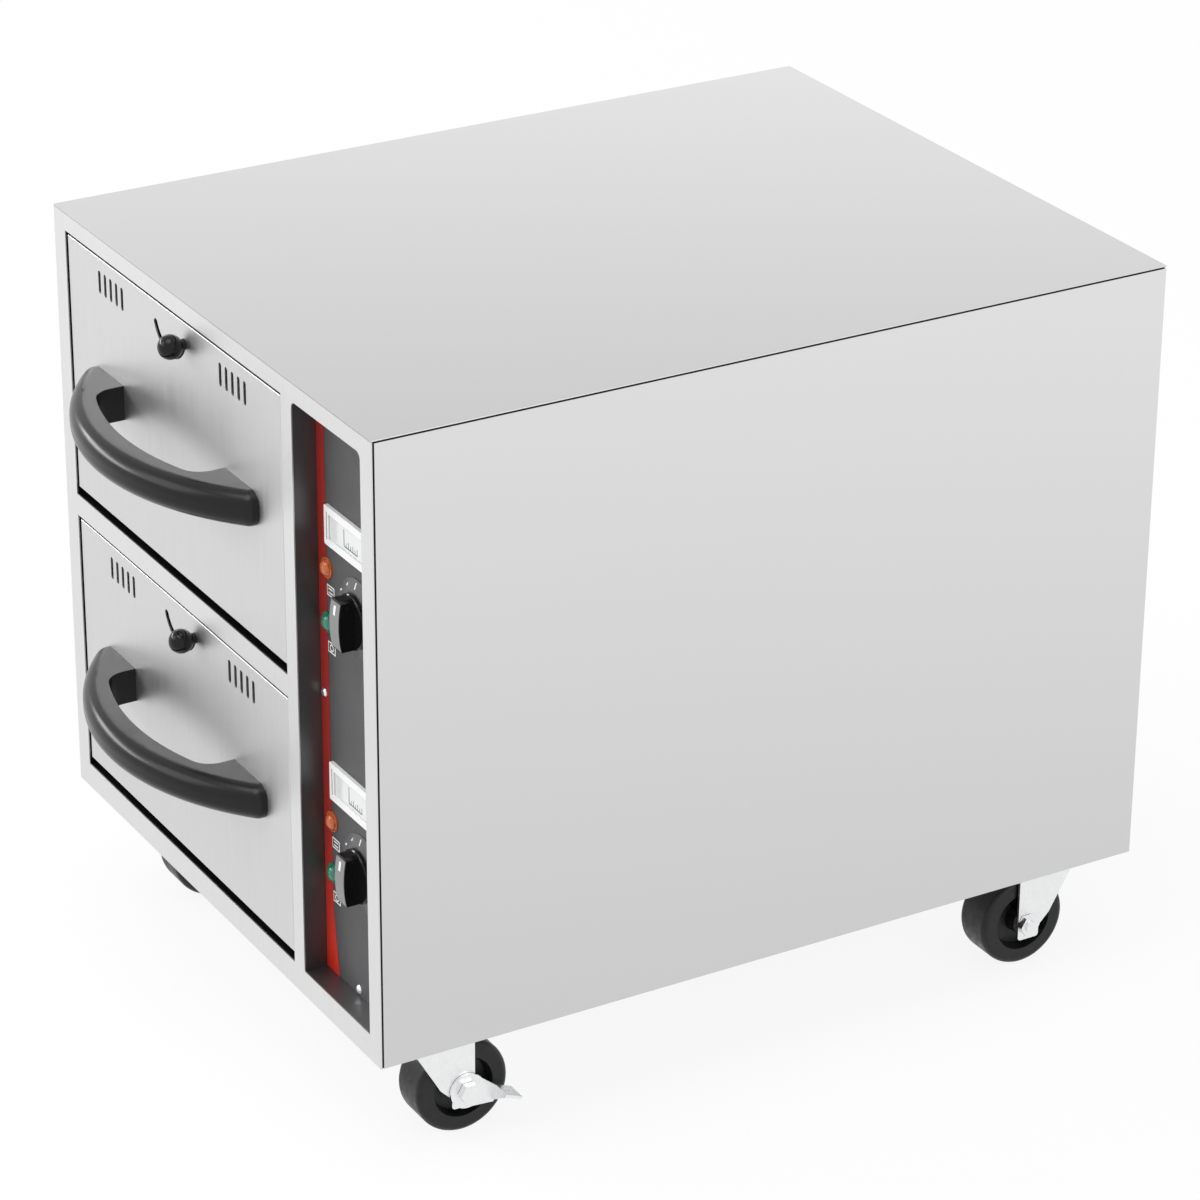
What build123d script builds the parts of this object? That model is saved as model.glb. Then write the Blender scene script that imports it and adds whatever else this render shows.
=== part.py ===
from build123d import *
import math
import os

# A free-standing food-warming cabinet on four casters: two insulated drawers, one above the
# other, and a recessed control panel beside them.  Millimetres.  +X right, +Y back, +Z up, the
# front faces -Y.  The origin is on the floor, under the middle of everything at rest.

# ---------------------------------------------------------------- outer cabinet
cabinet_depth = 700.0
cabinet_height = 520.0      # from the base to the top, without the casters
caster_height = 104.0       # floor to cabinet base
skin = 1.0                  # outer stainless sheet
seam = 0.3                  # gap at a butted joint
shadow_gap = 1.5            # open joint between a side panel and the front or the top
panel_edge_radius = 0.8     # bend along the outer edges of the top and the front frame
hem = 14.0                  # width of a folded edge
inner_sheet = 1.0           # sheet of the cavity liner and divider
overlap = 0.5               # how far forms joined into one solid reach into each other

# ---------------------------------------------------------------- front frame
frame_sheet = 1.2
frame_return = 22.0         # depth of the folded edges round the drawer openings
recess_corner = 6.0         # rounded upper corners of the control recess
stile_left = 21.0
stile_middle = 17.0
stile_right = 17.5
rail_top = 16.0
rail_middle = 19.0
rail_bottom = 22.0
drawer_opening_width = 385.0
recess_width = 109.5

# ---------------------------------------------------------------- drawer fronts
drawer_set_back = 1.0       # the drawer face behind the frame face
drawer_gap_side = 3.0
drawer_gap_top = 3.0
drawer_gap_bottom = 7.5
front_sheet = 1.2
front_depth = 20.0          # thickness of the hollow drawer front
front_edge_radius = 0.8
inner_panel_rim = 8.0       # folded edge of the panel that closes a drawer front

# ---------------------------------------------------------------- bow handle
handle_length = 300.0       # foot end to foot end
handle_reach = 68.0         # face of the drawer to the front of the bow
handle_height = 29.5
handle_grip = 25.0          # thickness of the bow at its middle
handle_foot = 58.0          # length of each foot on the drawer face
handle_foot_rise = 8.0      # straight part at the end of each foot
handle_end_radius = 12.0
handle_palm_radius = 20.0   # inside corners between bow and feet
handle_shoulder = 18.0      # how much less deep the finger gap is at the feet
handle_round = 12.5         # rounding of the outer edges
handle_stud_inset = 34.0    # stud axis from the end of the foot
stud_radius = 3.0
stud_nut_width = 10.0
stud_nut_height = 5.0
stud_end = 3.0              # stud beyond its nut
stud_clearance = 0.2
stud_root = 2.0             # stud inside the moulding
thread_clearance = 0.05

# ---------------------------------------------------------------- adjustable drawer vents
vent_count = 5
vent_pitch = 10.5
vent_width = 4.5
vent_length = 19.5
vent_spread = 109.0         # middle of the drawer to the middle of each group of vents
vent_drop = 20.5            # top of the drawer front to the middle of the vents
pivot_drop = 6.5            # top of the drawer front to the lever's pivot
pivot_radius = 2.0
lever_reach = 28.0          # pivot to ball stem
straight_down = 270.0       # degrees, seen from the front
lever_half_swing = 66.0     # degrees each side of straight down
lever_sheet = 2.0
lever_width = 9.0
stem_radius = 2.5
stem_slot_clearance = 0.8
ball_radius = 10.0
ball_neck_radius = 4.5      # collar between the ball and the drawer face
ball_stand_off = 12.0       # drawer face to the middle of the ball
crank_pin_radius = 1.5
crank_play = 0.6            # room each side of the crank pin in its slot
sine_fit = 0.845            # slope of the straight line that follows the crank pin best
shutter_sheet = 1.0
shutter_margin = 7.0        # shutter above and below the vents
guide_sheet = 1.0
guide_lip = 3.0

# ---------------------------------------------------------------- drawer carrier, pan and slides
slide_length = 500.0
slide_height = 45.0
slide_depth = 12.7
slide_sheet = 1.2
slide_edge_gap = 1.5        # channel edges short of the full depth
slide_inner_reach = 7.5     # depth of the inner member
slide_start = 4.0           # slide behind the folded edge of the front frame
drawer_travel = 480.0
pan_width = 325.0           # over the rim
pan_length = 530.0
pan_depth = 150.0
pan_rim = 12.0
pan_sheet = 1.0
pan_corner = 42.0
pan_rim_corner = 34.0
pan_taper = 3.0             # degrees
pan_lip = 3.0               # rim turned down
pan_headroom = 34.0         # rim support below the top of the opening
pan_front_gap = 8.0
pan_rear_gap = 6.0
carrier_sheet = 1.5
carrier_flange = 12.0
carrier_front_flange = 18.0 # screwed to the panel behind the drawer front
carrier_skirt = 4.0         # side member below the slide
pan_side_clearance = 2.0
slide_below_rim = 45.0      # pan support to the middle of the slides

# ---------------------------------------------------------------- heating and insulation
heater_radius = 4.0
heater_height = 16.0        # element axis above the cavity floor
heater_runs = 6             # cross runs of one element, an even number
heater_pitch = 74.0         # between the cross runs
heater_bend = 30.0
heater_margin = 45.0        # element to the cavity walls
heater_front = 100.0        # first run behind the front of the cavity
heater_tail = 32.0          # terminal beyond the liner wall
heater_strap = 2.0
heater_strap_height = 24.0
heater_strap_end = 20.0     # strap beyond the first and last run
heater_strap_shares = (0.3, 0.7)
terminal_hole = 6.0
back_insulation = 32.0
channel_height = 11.0
channel_rear_gap = 3.5      # rear channel to the outside of the back

# ---------------------------------------------------------------- control panel
recess_depth = 20.0
panel_sheet = 1.5
panel_flange = 12.0
stripe_width = 13.0
stripe_foot_width = 21.0
stripe_foot_height = 55.0
stripe_thickness = 0.3
zone_pitch = 214.5          # upper to lower set of controls
upper_zone_height = 348.0   # knob axis of the upper set above the cabinet base
thermometer_rise = 60.0     # thermometer above the knob axis
thermometer_width = 77.0
thermometer_height = 32.0
thermometer_stand = 3.0
thermometer_body_depth = 18.0
thermometer_wall = 2.0      # case round the window
thermometer_corner = 1.5
window_width = 63.0
window_height = 20.0
window_sheet = 1.2
knob_inset = 64.5           # knob axis from the left wall of the recess
knob_radius = 21.8
knob_height = 20.5          # panel to the top of the grip
knob_disc = 3.5
knob_bevel = 1.0
knob_bar_width = 15.6
knob_bar_crown = 2.2        # the grip's front is bowed by this much
knob_bar_inset = 0.6        # rounded ends of the grip inside the disc's edge
knob_shaft_radius = 3.0
knob_shaft_length = 22.0    # behind the panel's face
shaft_clearance = 0.05
shaft_hole = 5.0
dial_radius = 32.5
dial_top_radius = 23.5
dial_rise = 4.0
dial_rim = 0.8              # upright edge of the dial
dial_gap = 0.4              # dial to the underside of the knob
lamp_inset = 14.5           # lamp axis from the left wall of the recess
lamp_rise = 22.5            # amber lamp above the knob axis, green lamp below it
lamp_flange_radius = 8.5
lamp_flange = 1.2
lamp_lens_radius = 6.6
lamp_dome = 4.2
lamp_dome_steps = 6
lamp_barrel_radius = 5.0
lamp_barrel_length = 24.0
thermostat_width = 40.0
thermostat_height = 46.0
thermostat_depth = 30.0
thermostat_corner = 3.0
thermostat_neck = 9.0
thermostat_neck_radius = 8.0
shaft_end_gap = 0.5         # shaft end to the bottom of its bore
screw_inset = 6.0
screw_radius = 2.0
screw_head_radius = 3.8
screw_head_height = 2.4
screw_length = 10.0

# ---------------------------------------------------------------- back of the cabinet
gland_reach = 20.0
gland_bore = 4.6
gland_radius = 11.0
gland_flange_radius = 14.0
gland_flange = 4.0          # thickness
gland_dome = 6.0            # length of the tapered end
gland_lip = 1.5             # wall at the outer end
gland_thread_radius = 9.5
gland_thread_length = 8.0
gland_clearance = 0.2
gland_height = 46.0         # above the cabinet base
louvre_count = 7
louvre_width = 70.0
louvre_slot = 6.0
louvre_pitch = 22.0
louvre_hood = 5.0
louvre_rise = 150.0         # lowest louvre above the cabinet base

# ---------------------------------------------------------------- casters
caster_inset_side = 57.0
caster_inset_front = 62.0
caster_inset_rear = 46.0
caster_trail = 30.0         # swivel axis to axle
wheel_radius = 40.0
wheel_width = 36.0
tread_round = 5.0
wheel_dish_radius = 26.0
wheel_dish_depth = 9.0
wheel_hub_radius = 11.0
wheel_hub_draft = 1.5
wheel_dish_draft = 2.5
tread_steps = 5             # facets of each rounded tread edge
axle_radius = 5.0
axle_clearance = 0.05
axle_head_width = 16.0
axle_head_height = 6.0
axle_thread_end = 2.0       # thread beyond the nut
fork_sheet = 2.5
fork_side_gap = 2.0         # wheel to fork leg
fork_crown_gap = 8.0        # wheel to the underside of the fork crown
fork_leg_top = 46.0         # length of the leg where it meets the crown
fork_crown_border = 3.0     # crown round the raceway
fork_crown_shift = 6.0      # middle of the legs behind the swivel axis
fork_corner = 3.0
fork_foot = 15.0            # leg below the axle
fork_foot_front = 12.5      # leg ahead of the axle at its foot
fork_foot_rear = 8.0        # leg behind the axle
fork_waist_front = 22.5     # leg ahead of the axle, fork_waist_rise above it
fork_waist_rise = 5.0
axle_hole_clearance = 0.02
plate_length = 70.0
plate_width = 92.0
plate_sheet = 3.0
plate_corner = 6.0
bolt_spacing_x = 72.0
bolt_spacing_y = 50.0
bolt_radius = 4.0
bolt_clearance = 0.2
bolt_head_width = 13.0
bolt_head_height = 5.0
bolt_above_base = 8.0
king_pin_radius = 5.0
king_pin_clearance = 0.05
king_head_radius = 9.0
king_head_height = 3.5
race_radius = 24.0
race_gap = 0.3
brake_sheet = 2.5
brake_radius = 15.0
brake_reach = 24.5          # axle to the pedal
brake_rise = 7.7            # pedal above the middle of the arm
brake_root = 13.6           # height of the arm at the pedal
pedal_length = 15.7
pedal_width = 18.4
brake_drop = 23.0           # degrees that the lever points below level

# ================================================================ places worked out from the sizes
cabinet_width = stile_left + drawer_opening_width + stile_middle + recess_width + stile_right
left_x = -cabinet_width / 2
right_x = cabinet_width / 2
base_z = caster_height
top_z = base_z + cabinet_height
handle_ahead = handle_reach - drawer_set_back
front_y = -(handle_ahead + cabinet_depth + gland_reach) / 2 + handle_ahead
back_y = front_y + cabinet_depth

drawer_x0 = left_x + stile_left
drawer_x1 = drawer_x0 + drawer_opening_width
drawer_mid = (drawer_x0 + drawer_x1) / 2
recess_x0 = drawer_x1 + stile_middle
recess_x1 = recess_x0 + recess_width
opening_height = (cabinet_height - rail_top - rail_middle - rail_bottom) / 2
floor_of = {"lower": base_z + rail_bottom}
floor_of["upper"] = floor_of["lower"] + opening_height + rail_middle
cavity_z0 = floor_of["lower"]
cavity_z1 = floor_of["upper"] + opening_height

liner_y0 = front_y + frame_return + seam
liner_y1 = back_y - 2 * skin - back_insulation
face_y = front_y + drawer_set_back
inner_panel_y = face_y + front_depth
front_x0 = drawer_x0 + drawer_gap_side
front_x1 = drawer_x1 - drawer_gap_side
pan_y0 = inner_panel_y + pan_front_gap
pan_y1 = pan_y0 + pan_length
carrier_y1 = pan_y1 + pan_rear_gap + carrier_sheet
slide_y0 = front_y + frame_return + slide_start
slide_y1 = slide_y0 + slide_length
carrier_half = drawer_opening_width / 2 - slide_depth
pan_body_half = pan_width / 2 - pan_rim

panel_y = front_y + recess_depth
zone_z = {"upper": base_z + upper_zone_height}
zone_z["lower"] = zone_z["upper"] - zone_pitch
knob_x = recess_x0 + knob_inset
lamp_x = recess_x0 + lamp_inset
panel_mid = (recess_x0 + recess_x1) / 2

lever_y0 = face_y + front_sheet + seam
lever_y1 = lever_y0 + lever_sheet
shutter_y0 = lever_y1 + seam
shutter_y1 = shutter_y0 + shutter_sheet
shutter_travel = vent_pitch * 1.5
half_swing = math.radians(lever_half_swing)
crank_radius = shutter_travel / (2 * sine_fit * half_swing)

plate_z0 = base_z - plate_sheet
crown_z1 = wheel_radius * 2 + fork_crown_gap + fork_sheet
leg_inner = wheel_width / 2 + fork_side_gap
leg_outer = leg_inner + fork_sheet


def block(x0, x1, y0, y1, z0, z1):
    """A box between six planes."""
    middle = Pos((x0 + x1) / 2, (y0 + y1) / 2, (z0 + z1) / 2)
    return middle * Box(x1 - x0, y1 - y0, z1 - z0)


def along_x(profile, x0, x1, y=0.0, z=0.0):
    """A profile drawn as (Y, Z), extruded from x0 to x1."""
    plane = Plane(origin=(x0, y, z), x_dir=(0, 1, 0), z_dir=(1, 0, 0))
    return plane * extrude(profile, x1 - x0)


def along_y(profile, y0, y1, x=0.0, z=0.0):
    """A profile drawn as (X, Z), extruded from y0 back to y1."""
    plane = Plane(origin=(x, y1, z), x_dir=(1, 0, 0), z_dir=(0, -1, 0))
    return plane * extrude(profile, y1 - y0)


def along_z(profile, z0, z1, x=0.0, y=0.0):
    """A profile drawn as (X, Y), extruded from z0 up to z1."""
    return Pos(x, y, z0) * extrude(profile, z1 - z0)


def turned(points, x, z):
    """A shape turned about a line along Y: points are (radius, y), joined by straight lines."""
    outline = make_face(Polyline(*points, close=True))
    return Pos(x, 0, z) * revolve(outline, Axis.Y)


def tray_from_front(x0, x1, y0, y1, z0, z1, sheet):
    """A folded panel: a face at y0 with four edges turned back to y1."""
    hollow = block(x0 + sheet, x1 - sheet, y0 + sheet, y1 + 1, z0 + sheet, z1 - sheet)
    return block(x0, x1, y0, y1, z0, z1) - hollow


# ================================================================ cabinet
def make_front_frame():
    """The folded frame: its face, its outer hem and a folded edge round each opening."""
    t = frame_sheet
    z1 = top_z - skin - seam
    face = block(left_x, right_x, front_y, front_y + t, base_z, z1)
    front_edges = face.faces().sort_by(Axis.Y)[0].edges().filter_by(Axis.Z)
    frame = fillet(front_edges, panel_edge_radius)
    frame += tray_from_front(left_x + skin + seam, right_x - skin - seam, front_y, front_y + hem,
                             base_z, z1, t)
    openings = [(drawer_x0, drawer_x1, floor_of[level], floor_of[level] + opening_height, frame_return)
                for level in ("lower", "upper")]
    for xa, xb, za, zb, depth in openings:
        frame += block(xa - t, xb + t, front_y, front_y + depth, za - t, zb + t)
    depth = recess_depth + panel_flange
    frame += recess_block(-t, front_y, front_y + depth)
    frame -= recess_block(0, front_y - 1, front_y + depth + 1)
    for xa, xb, za, zb, depth in openings:
        frame -= block(xa, xb, front_y - 1, front_y + depth + 1, za, zb)
    return frame


def recess_outline(inset):
    """The recess seen from the front, its two upper corners rounded, made smaller by an inset."""
    width = recess_x1 - recess_x0 - 2 * inset
    height = cavity_z1 - cavity_z0 - 2 * inset
    outline = Rectangle(width, height)
    upper_corners = outline.vertices().group_by(Axis.Y)[-1]
    return fillet(upper_corners, recess_corner - inset)


def recess_block(inset, y0, y1):
    """A block with the outline of the recess."""
    return along_y(recess_outline(inset), y0, y1, panel_mid, (cavity_z0 + cavity_z1) / 2)


def make_top_panel():
    """The flat top with bent edges at both sides, and a hem turned down inside each side panel."""
    top = block(left_x, right_x, front_y, back_y, top_z - skin, top_z)
    top = fillet(top.faces().sort_by(Axis.Z)[-1].edges().filter_by(Axis.Y), panel_edge_radius)
    y0 = front_y + hem + seam
    y1 = back_y - 2 * skin - 2 * seam
    for side in (-1, 1):
        outside = side * (right_x - skin - seam)
        inside = outside - side * skin
        low, high = sorted((outside, inside))
        top += block(low, high, y0, y1, top_z - skin - hem, top_z - skin)
    return top


def make_side_panel(side):
    """A flat side with a hem turned in at the back for the back panel's screws."""
    outer = side * right_x
    inner = side * (right_x - skin)
    low, high = sorted((outer, inner))
    z1 = top_z - skin - shadow_gap
    panel = block(low, high, front_y + frame_sheet + shadow_gap, back_y, base_z, z1)
    low, high = sorted((inner, side * (right_x - skin - hem)))
    hem_y1 = back_y - skin - seam
    panel += block(low, high, hem_y1 - skin, hem_y1, base_z + frame_sheet + seam, z1 - skin)
    return panel


def make_back_panel():
    """The back: a flat sheet with hooded louvres for the control compartment and a cord hole."""
    x0 = left_x + skin + seam
    x1 = right_x - skin - seam
    panel = block(x0, x1, back_y - skin, back_y, base_z, top_z - skin - seam)
    for i in range(louvre_count):
        z = base_z + louvre_rise + i * louvre_pitch
        slot = SlotOverall(louvre_width, louvre_slot)
        panel -= along_y(slot, back_y - skin - 1, back_y + 1, panel_mid, z)
    for i in range(louvre_count):
        z = base_z + louvre_rise + i * louvre_pitch
        panel += make_louvre_hood(z)
    panel -= along_y(Circle(gland_thread_radius + gland_clearance), back_y - skin - 1, back_y + 1,
                     panel_mid, base_z + gland_height)
    return panel


def make_louvre_hood(z):
    """One pressed hood: a quarter-round shell over the upper edge of its slot."""
    top = z + louvre_slot / 2 + skin
    half = louvre_width / 2
    shell = along_x(Circle(louvre_hood), panel_mid - half, panel_mid + half, back_y, top - louvre_hood)
    shell -= along_x(Circle(louvre_hood - skin), panel_mid - half + skin, panel_mid + half - skin,
                     back_y, top - louvre_hood)
    keep = block(panel_mid - half, panel_mid + half, back_y - skin / 2, back_y + louvre_hood,
                 top - louvre_hood + skin, top)
    return shell & keep


def make_base_panel():
    """The base tray, with its edges folded up inside the side panels and holes for the casters."""
    x0 = left_x + skin + seam
    x1 = right_x - skin - seam
    y0 = front_y + hem + seam
    y1 = back_y - skin - seam
    base = block(x0, x1, y0, y1, base_z, base_z + frame_sheet)
    for low in (x0, x1 - frame_sheet):
        base += block(low, low + frame_sheet, y0, y1 - skin - 2 * seam, base_z, base_z + hem)
    base += block(x0 + hem + skin, x1 - hem - skin, y1 - frame_sheet, y1, base_z, base_z + hem)
    for x, y in caster_bolt_places():
        base -= Pos(x, y, base_z) * Cylinder(bolt_radius + bolt_clearance, 10)
    return base


def make_base_channels():
    """Two folded channels across the base that spread the load of the casters."""
    channels = []
    x0 = left_x + skin + 2 * seam + frame_sheet
    x1 = right_x - skin - 2 * seam - frame_sheet
    z0 = base_z + frame_sheet
    half = caster_inset_rear - channel_rear_gap
    for y in caster_rows():
        outer = block(x0, x1, y - half, y + half, z0, z0 + channel_height)
        web = block(x0 - 1, x1 + 1, y - half + frame_sheet, y + half - frame_sheet,
                    z0 + frame_sheet, z0 + channel_height + 1)
        channel = outer - web
        for bx, by in caster_bolt_places():
            if abs(by - y) < half:
                channel -= Pos(bx, by, z0) * Cylinder(bolt_radius + bolt_clearance, 10)
        channels.append(channel)
    return channels


def make_cavity_liner():
    """The welded inner box of both drawer cavities, open at the front."""
    t = inner_sheet
    liner = block(drawer_x0 - t, drawer_x1 + t, liner_y0, liner_y1 + t, cavity_z0 - t, cavity_z1 + t)
    liner -= block(drawer_x0, drawer_x1, liner_y0 - 1, liner_y1, cavity_z0, cavity_z1)
    for level in ("lower", "upper"):
        for y in heater_end_places():
            hole = along_x(Circle(heater_radius + seam), drawer_x1 - 1, drawer_x1 + t + 1,
                           y, floor_of[level] + heater_height)
            liner -= hole
    return liner


def make_divider_shelf():
    """The hollow shelf between the two cavities."""
    x0 = drawer_x0 + seam
    x1 = drawer_x1 - seam
    z0 = floor_of["lower"] + opening_height
    z1 = floor_of["upper"]
    t = inner_sheet
    shelf = block(x0, x1, liner_y0, liner_y1 - seam, z0, z1)
    return shelf - block(x0 + t, x1 - t, liner_y0 + t, liner_y1, z0 + t, z1 - t)


def make_insulation():
    """Mineral-wool slabs between the liner and the outer panels."""
    lx0 = drawer_x0 - inner_sheet
    lx1 = drawer_x1 + inner_sheet
    ly1 = liner_y1 + inner_sheet
    lz0 = cavity_z0 - inner_sheet
    lz1 = cavity_z1 + inner_sheet
    left = block(left_x + skin + frame_sheet + 3 * seam, lx0 - seam, liner_y0, ly1, lz0, lz1)
    right = block(lx1 + seam, recess_x0 - frame_sheet - seam, liner_y0, ly1, lz0, lz1)
    for level in ("lower", "upper"):
        for y in heater_end_places():
            right -= along_x(Circle(terminal_hole), lx1, recess_x0, y, floor_of[level] + heater_height)
    top = block(lx0, lx1, liner_y0, ly1, lz1 + seam, top_z - skin - seam)
    bottom = block(lx0, lx1, liner_y0, ly1, base_z + frame_sheet + channel_height + seam, lz0 - seam)
    back = block(lx0, lx1, ly1 + seam, back_y - 2 * skin - 2 * seam, lz0, lz1)
    return [left, right, top, bottom, back]


# ================================================================ heating elements
def heater_run_places():
    """The Y of each cross run of an element."""
    return [liner_y0 + heater_front + i * heater_pitch for i in range(heater_runs)]


def heater_end_places():
    """The Y of the two ends of an element."""
    runs = heater_run_places()
    return [runs[0], runs[-1]]


def make_heater(level):
    """A bent tubular element that crosses the cavity to and fro, and the two straps that carry it."""
    z = floor_of[level] + heater_height
    runs = heater_run_places()
    xo = drawer_x1 + inner_sheet + heater_tail
    xl = drawer_x0 + heater_margin
    xr = drawer_x1 - heater_margin
    corners = [(xo, runs[0], z)]
    for i in range(heater_runs - 1):
        turn_x = xl if i % 2 == 0 else xr
        corners += [(turn_x, runs[i], z), (turn_x, runs[i + 1], z)]
    corners.append((xo, runs[-1], z))
    path = FilletPolyline(*corners, radius=heater_bend)
    section = Plane(origin=path @ 0, z_dir=path % 0) * Circle(heater_radius)
    pieces = [sweep(section, path=path)]
    width = xr - xl
    for share in heater_strap_shares:
        x = xl + width * share
        strap = block(x, x + heater_strap, runs[0] - heater_strap_end, runs[-1] + heater_strap_end,
                      floor_of[level], floor_of[level] + heater_strap_height)
        for y in runs:
            strap -= along_x(Circle(heater_radius + seam), x - 1, x + heater_strap + 1, y, z)
        pieces.append(strap)
    return pieces


# ================================================================ control panel
def make_control_panel():
    """The panel at the back of the recess, its edges folded back, with holes for the controls."""
    panel = recess_block(seam, panel_y, panel_y + panel_flange)
    panel -= recess_block(seam + panel_sheet, panel_y + panel_sheet, panel_y + panel_flange + 1)
    y0 = panel_y - 1
    y1 = panel_y + panel_sheet + 1
    for z in zone_z.values():
        room = 2 * (thermometer_wall + seam)
        window = Rectangle(window_width + room, window_height + room)
        panel -= along_y(window, y0, y1, panel_mid, z + thermometer_rise)
        panel -= along_y(Circle(shaft_hole), y0, y1, knob_x, z)
        for rise in (lamp_rise, -lamp_rise):
            panel -= along_y(Circle(lamp_barrel_radius + seam), y0, y1, lamp_x, z + rise)
    for x, z in panel_screw_places():
        panel -= along_y(Circle(screw_radius + seam), y0, y1, x, z)
    return panel


def make_stripe():
    """The thin trim strip down the left edge of the panel, wider at its foot."""
    x0 = recess_x0 + seam
    z0 = cavity_z0 + seam
    z1 = cavity_z1 - seam
    outline = Polyline((x0, z0), (x0 + stripe_foot_width, z0), (x0 + stripe_width, z0 + stripe_foot_height),
                       (x0 + stripe_width, z1), (x0, z1), close=True)
    strip = along_y(make_face(outline), panel_y - stripe_thickness, panel_y)
    strip &= recess_block(seam, panel_y - stripe_thickness, panel_y)
    for z in zone_z.values():
        for rise in (lamp_rise, -lamp_rise):
            strip -= along_y(Circle(lamp_flange_radius + seam), panel_y - 2, panel_y + 1, lamp_x, z + rise)
    for x, z in panel_screw_places():
        strip -= along_y(Circle(screw_head_radius + seam), panel_y - 2, panel_y + 1, x, z)
    return strip


def panel_screw_places():
    """Middle of the top, bottom, left and right edges of the control panel."""
    mid_z = (cavity_z0 + cavity_z1) / 2
    return [(panel_mid, cavity_z0 + screw_inset), (panel_mid, cavity_z1 - screw_inset),
            (recess_x0 + screw_inset, mid_z), (recess_x1 - screw_inset, mid_z)]


def make_panel_screws():
    """Four domed screws that hold the control panel."""
    y = panel_y
    head = [(0, y), (screw_head_radius, y), (screw_head_radius, y - screw_head_height * 0.3),
            (screw_head_radius * 0.6, y - screw_head_height * 0.85), (0, y - screw_head_height)]
    screws = []
    for x, z in panel_screw_places():
        screw = turned(head, x, z)
        screw += along_y(Circle(screw_radius), y - overlap, y + screw_length, x, z)
        screws.append(screw)
    return screws


def make_thermometer(zone):
    """One thermometer case: a raised rectangular bezel with a sunk window, and its body behind."""
    z = zone_z[zone] + thermometer_rise
    y0 = panel_y - thermometer_stand
    case = along_y(RectangleRounded(thermometer_width, thermometer_height, thermometer_corner),
                   y0, panel_y, panel_mid, z)
    body = Rectangle(window_width + 2 * thermometer_wall, window_height + 2 * thermometer_wall)
    case += along_y(body, panel_y - overlap, panel_y + thermometer_body_depth, panel_mid, z)
    sunk = Rectangle(window_width, window_height)
    case -= along_y(sunk, y0 - 1, y0 + 2 * window_sheet, panel_mid, z)
    return case


def make_window(zone):
    """The clear window of one thermometer, seated in its bezel."""
    z = zone_z[zone] + thermometer_rise
    y1 = panel_y - thermometer_stand + 2 * window_sheet
    pane = Rectangle(window_width - 2 * seam, window_height - 2 * seam)
    return along_y(pane, y1 - window_sheet, y1, panel_mid, z)


def make_lamp(z):
    """One indicator lamp: a domed lens on a flange, with its barrel behind the panel."""
    y = panel_y
    top = y - lamp_flange
    dome = []
    for i in range(lamp_dome_steps + 1):
        angle = math.pi / 2 * i / lamp_dome_steps
        dome.append((lamp_lens_radius * math.cos(angle), top - lamp_dome * math.sin(angle)))
    profile = [(0, y), (lamp_flange_radius, y), (lamp_flange_radius, top)] + dome
    lamp = turned(profile, lamp_x, z)
    lamp += along_y(Circle(lamp_barrel_radius), y - overlap, y + lamp_barrel_length, lamp_x, z)
    return lamp


def make_dial(z):
    """The fixed bevelled dial ring round a knob."""
    outline = [(shaft_hole, panel_y), (dial_radius, panel_y), (dial_radius, panel_y - dial_rim),
               (dial_top_radius, panel_y - dial_rise), (shaft_hole, panel_y - dial_rise)]
    return turned(outline, knob_x, z)


def make_knob(z):
    """A thermostat knob: a disc with a bowed bar grip, and the shaft that it is fixed on."""
    disc_y1 = panel_y - dial_rise - dial_gap
    disc_y0 = disc_y1 - knob_disc
    tip_y = panel_y - knob_height
    knob = along_y(Circle(knob_radius), disc_y0, disc_y1, knob_x, z)
    knob = chamfer(knob.edges().filter_by(GeomType.CIRCLE).group_by(Axis.Y)[0], knob_bevel)
    half = knob_radius - knob_bevel
    low_y = tip_y + knob_bar_crown
    root_y = disc_y0 + overlap
    side = make_face(Curve() + [
        Line((root_y, -half), (low_y, -half)),
        ThreePointArc((low_y, -half), (tip_y, 0), (low_y, half)),
        Line((low_y, half), (root_y, half)),
        Line((root_y, half), (root_y, -half)),
    ])
    bar = along_x(side, knob_x - knob_bar_width / 2, knob_x + knob_bar_width / 2, 0, z)
    round_end = along_y(Circle(knob_radius - knob_bar_inset), tip_y - 1, disc_y1, knob_x, z)
    knob += bar & round_end
    knob += along_y(Circle(knob_shaft_radius), disc_y1 - overlap, panel_y + knob_shaft_length, knob_x, z)
    return knob


def make_thermostat(z):
    """The switch body behind the panel, with the neck that carries the knob shaft."""
    y0 = panel_y + panel_sheet
    neck = along_y(Circle(thermostat_neck_radius), y0, y0 + thermostat_neck, knob_x, z)
    body_y = y0 + thermostat_neck
    body = along_y(RectangleRounded(thermostat_width, thermostat_height, thermostat_corner),
                   body_y - overlap, body_y + thermostat_depth, knob_x, z)
    bore_end = panel_y + knob_shaft_length + shaft_end_gap
    return neck + body - along_y(Circle(knob_shaft_radius + shaft_clearance), y0 - 1, bore_end, knob_x, z)


def make_cord_gland():
    """The gland for the supply cord: flange and domed nut outside, threaded neck inside."""
    y = back_y
    inner = y - gland_thread_length
    end = y + gland_reach
    outline = [(gland_bore, inner), (gland_thread_radius, inner), (gland_thread_radius, y),
               (gland_flange_radius, y), (gland_flange_radius, y + gland_flange),
               (gland_radius, y + gland_flange + skin), (gland_radius, end - gland_dome),
               (gland_bore + gland_lip, end), (gland_bore, end)]
    return turned(outline, panel_mid, base_z + gland_height)


# ================================================================ drawers
def front_z_range(level):
    """Lower and upper edge of a drawer front."""
    low = floor_of[level] + drawer_gap_bottom
    high = floor_of[level] + opening_height - drawer_gap_top
    return low, high


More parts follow.
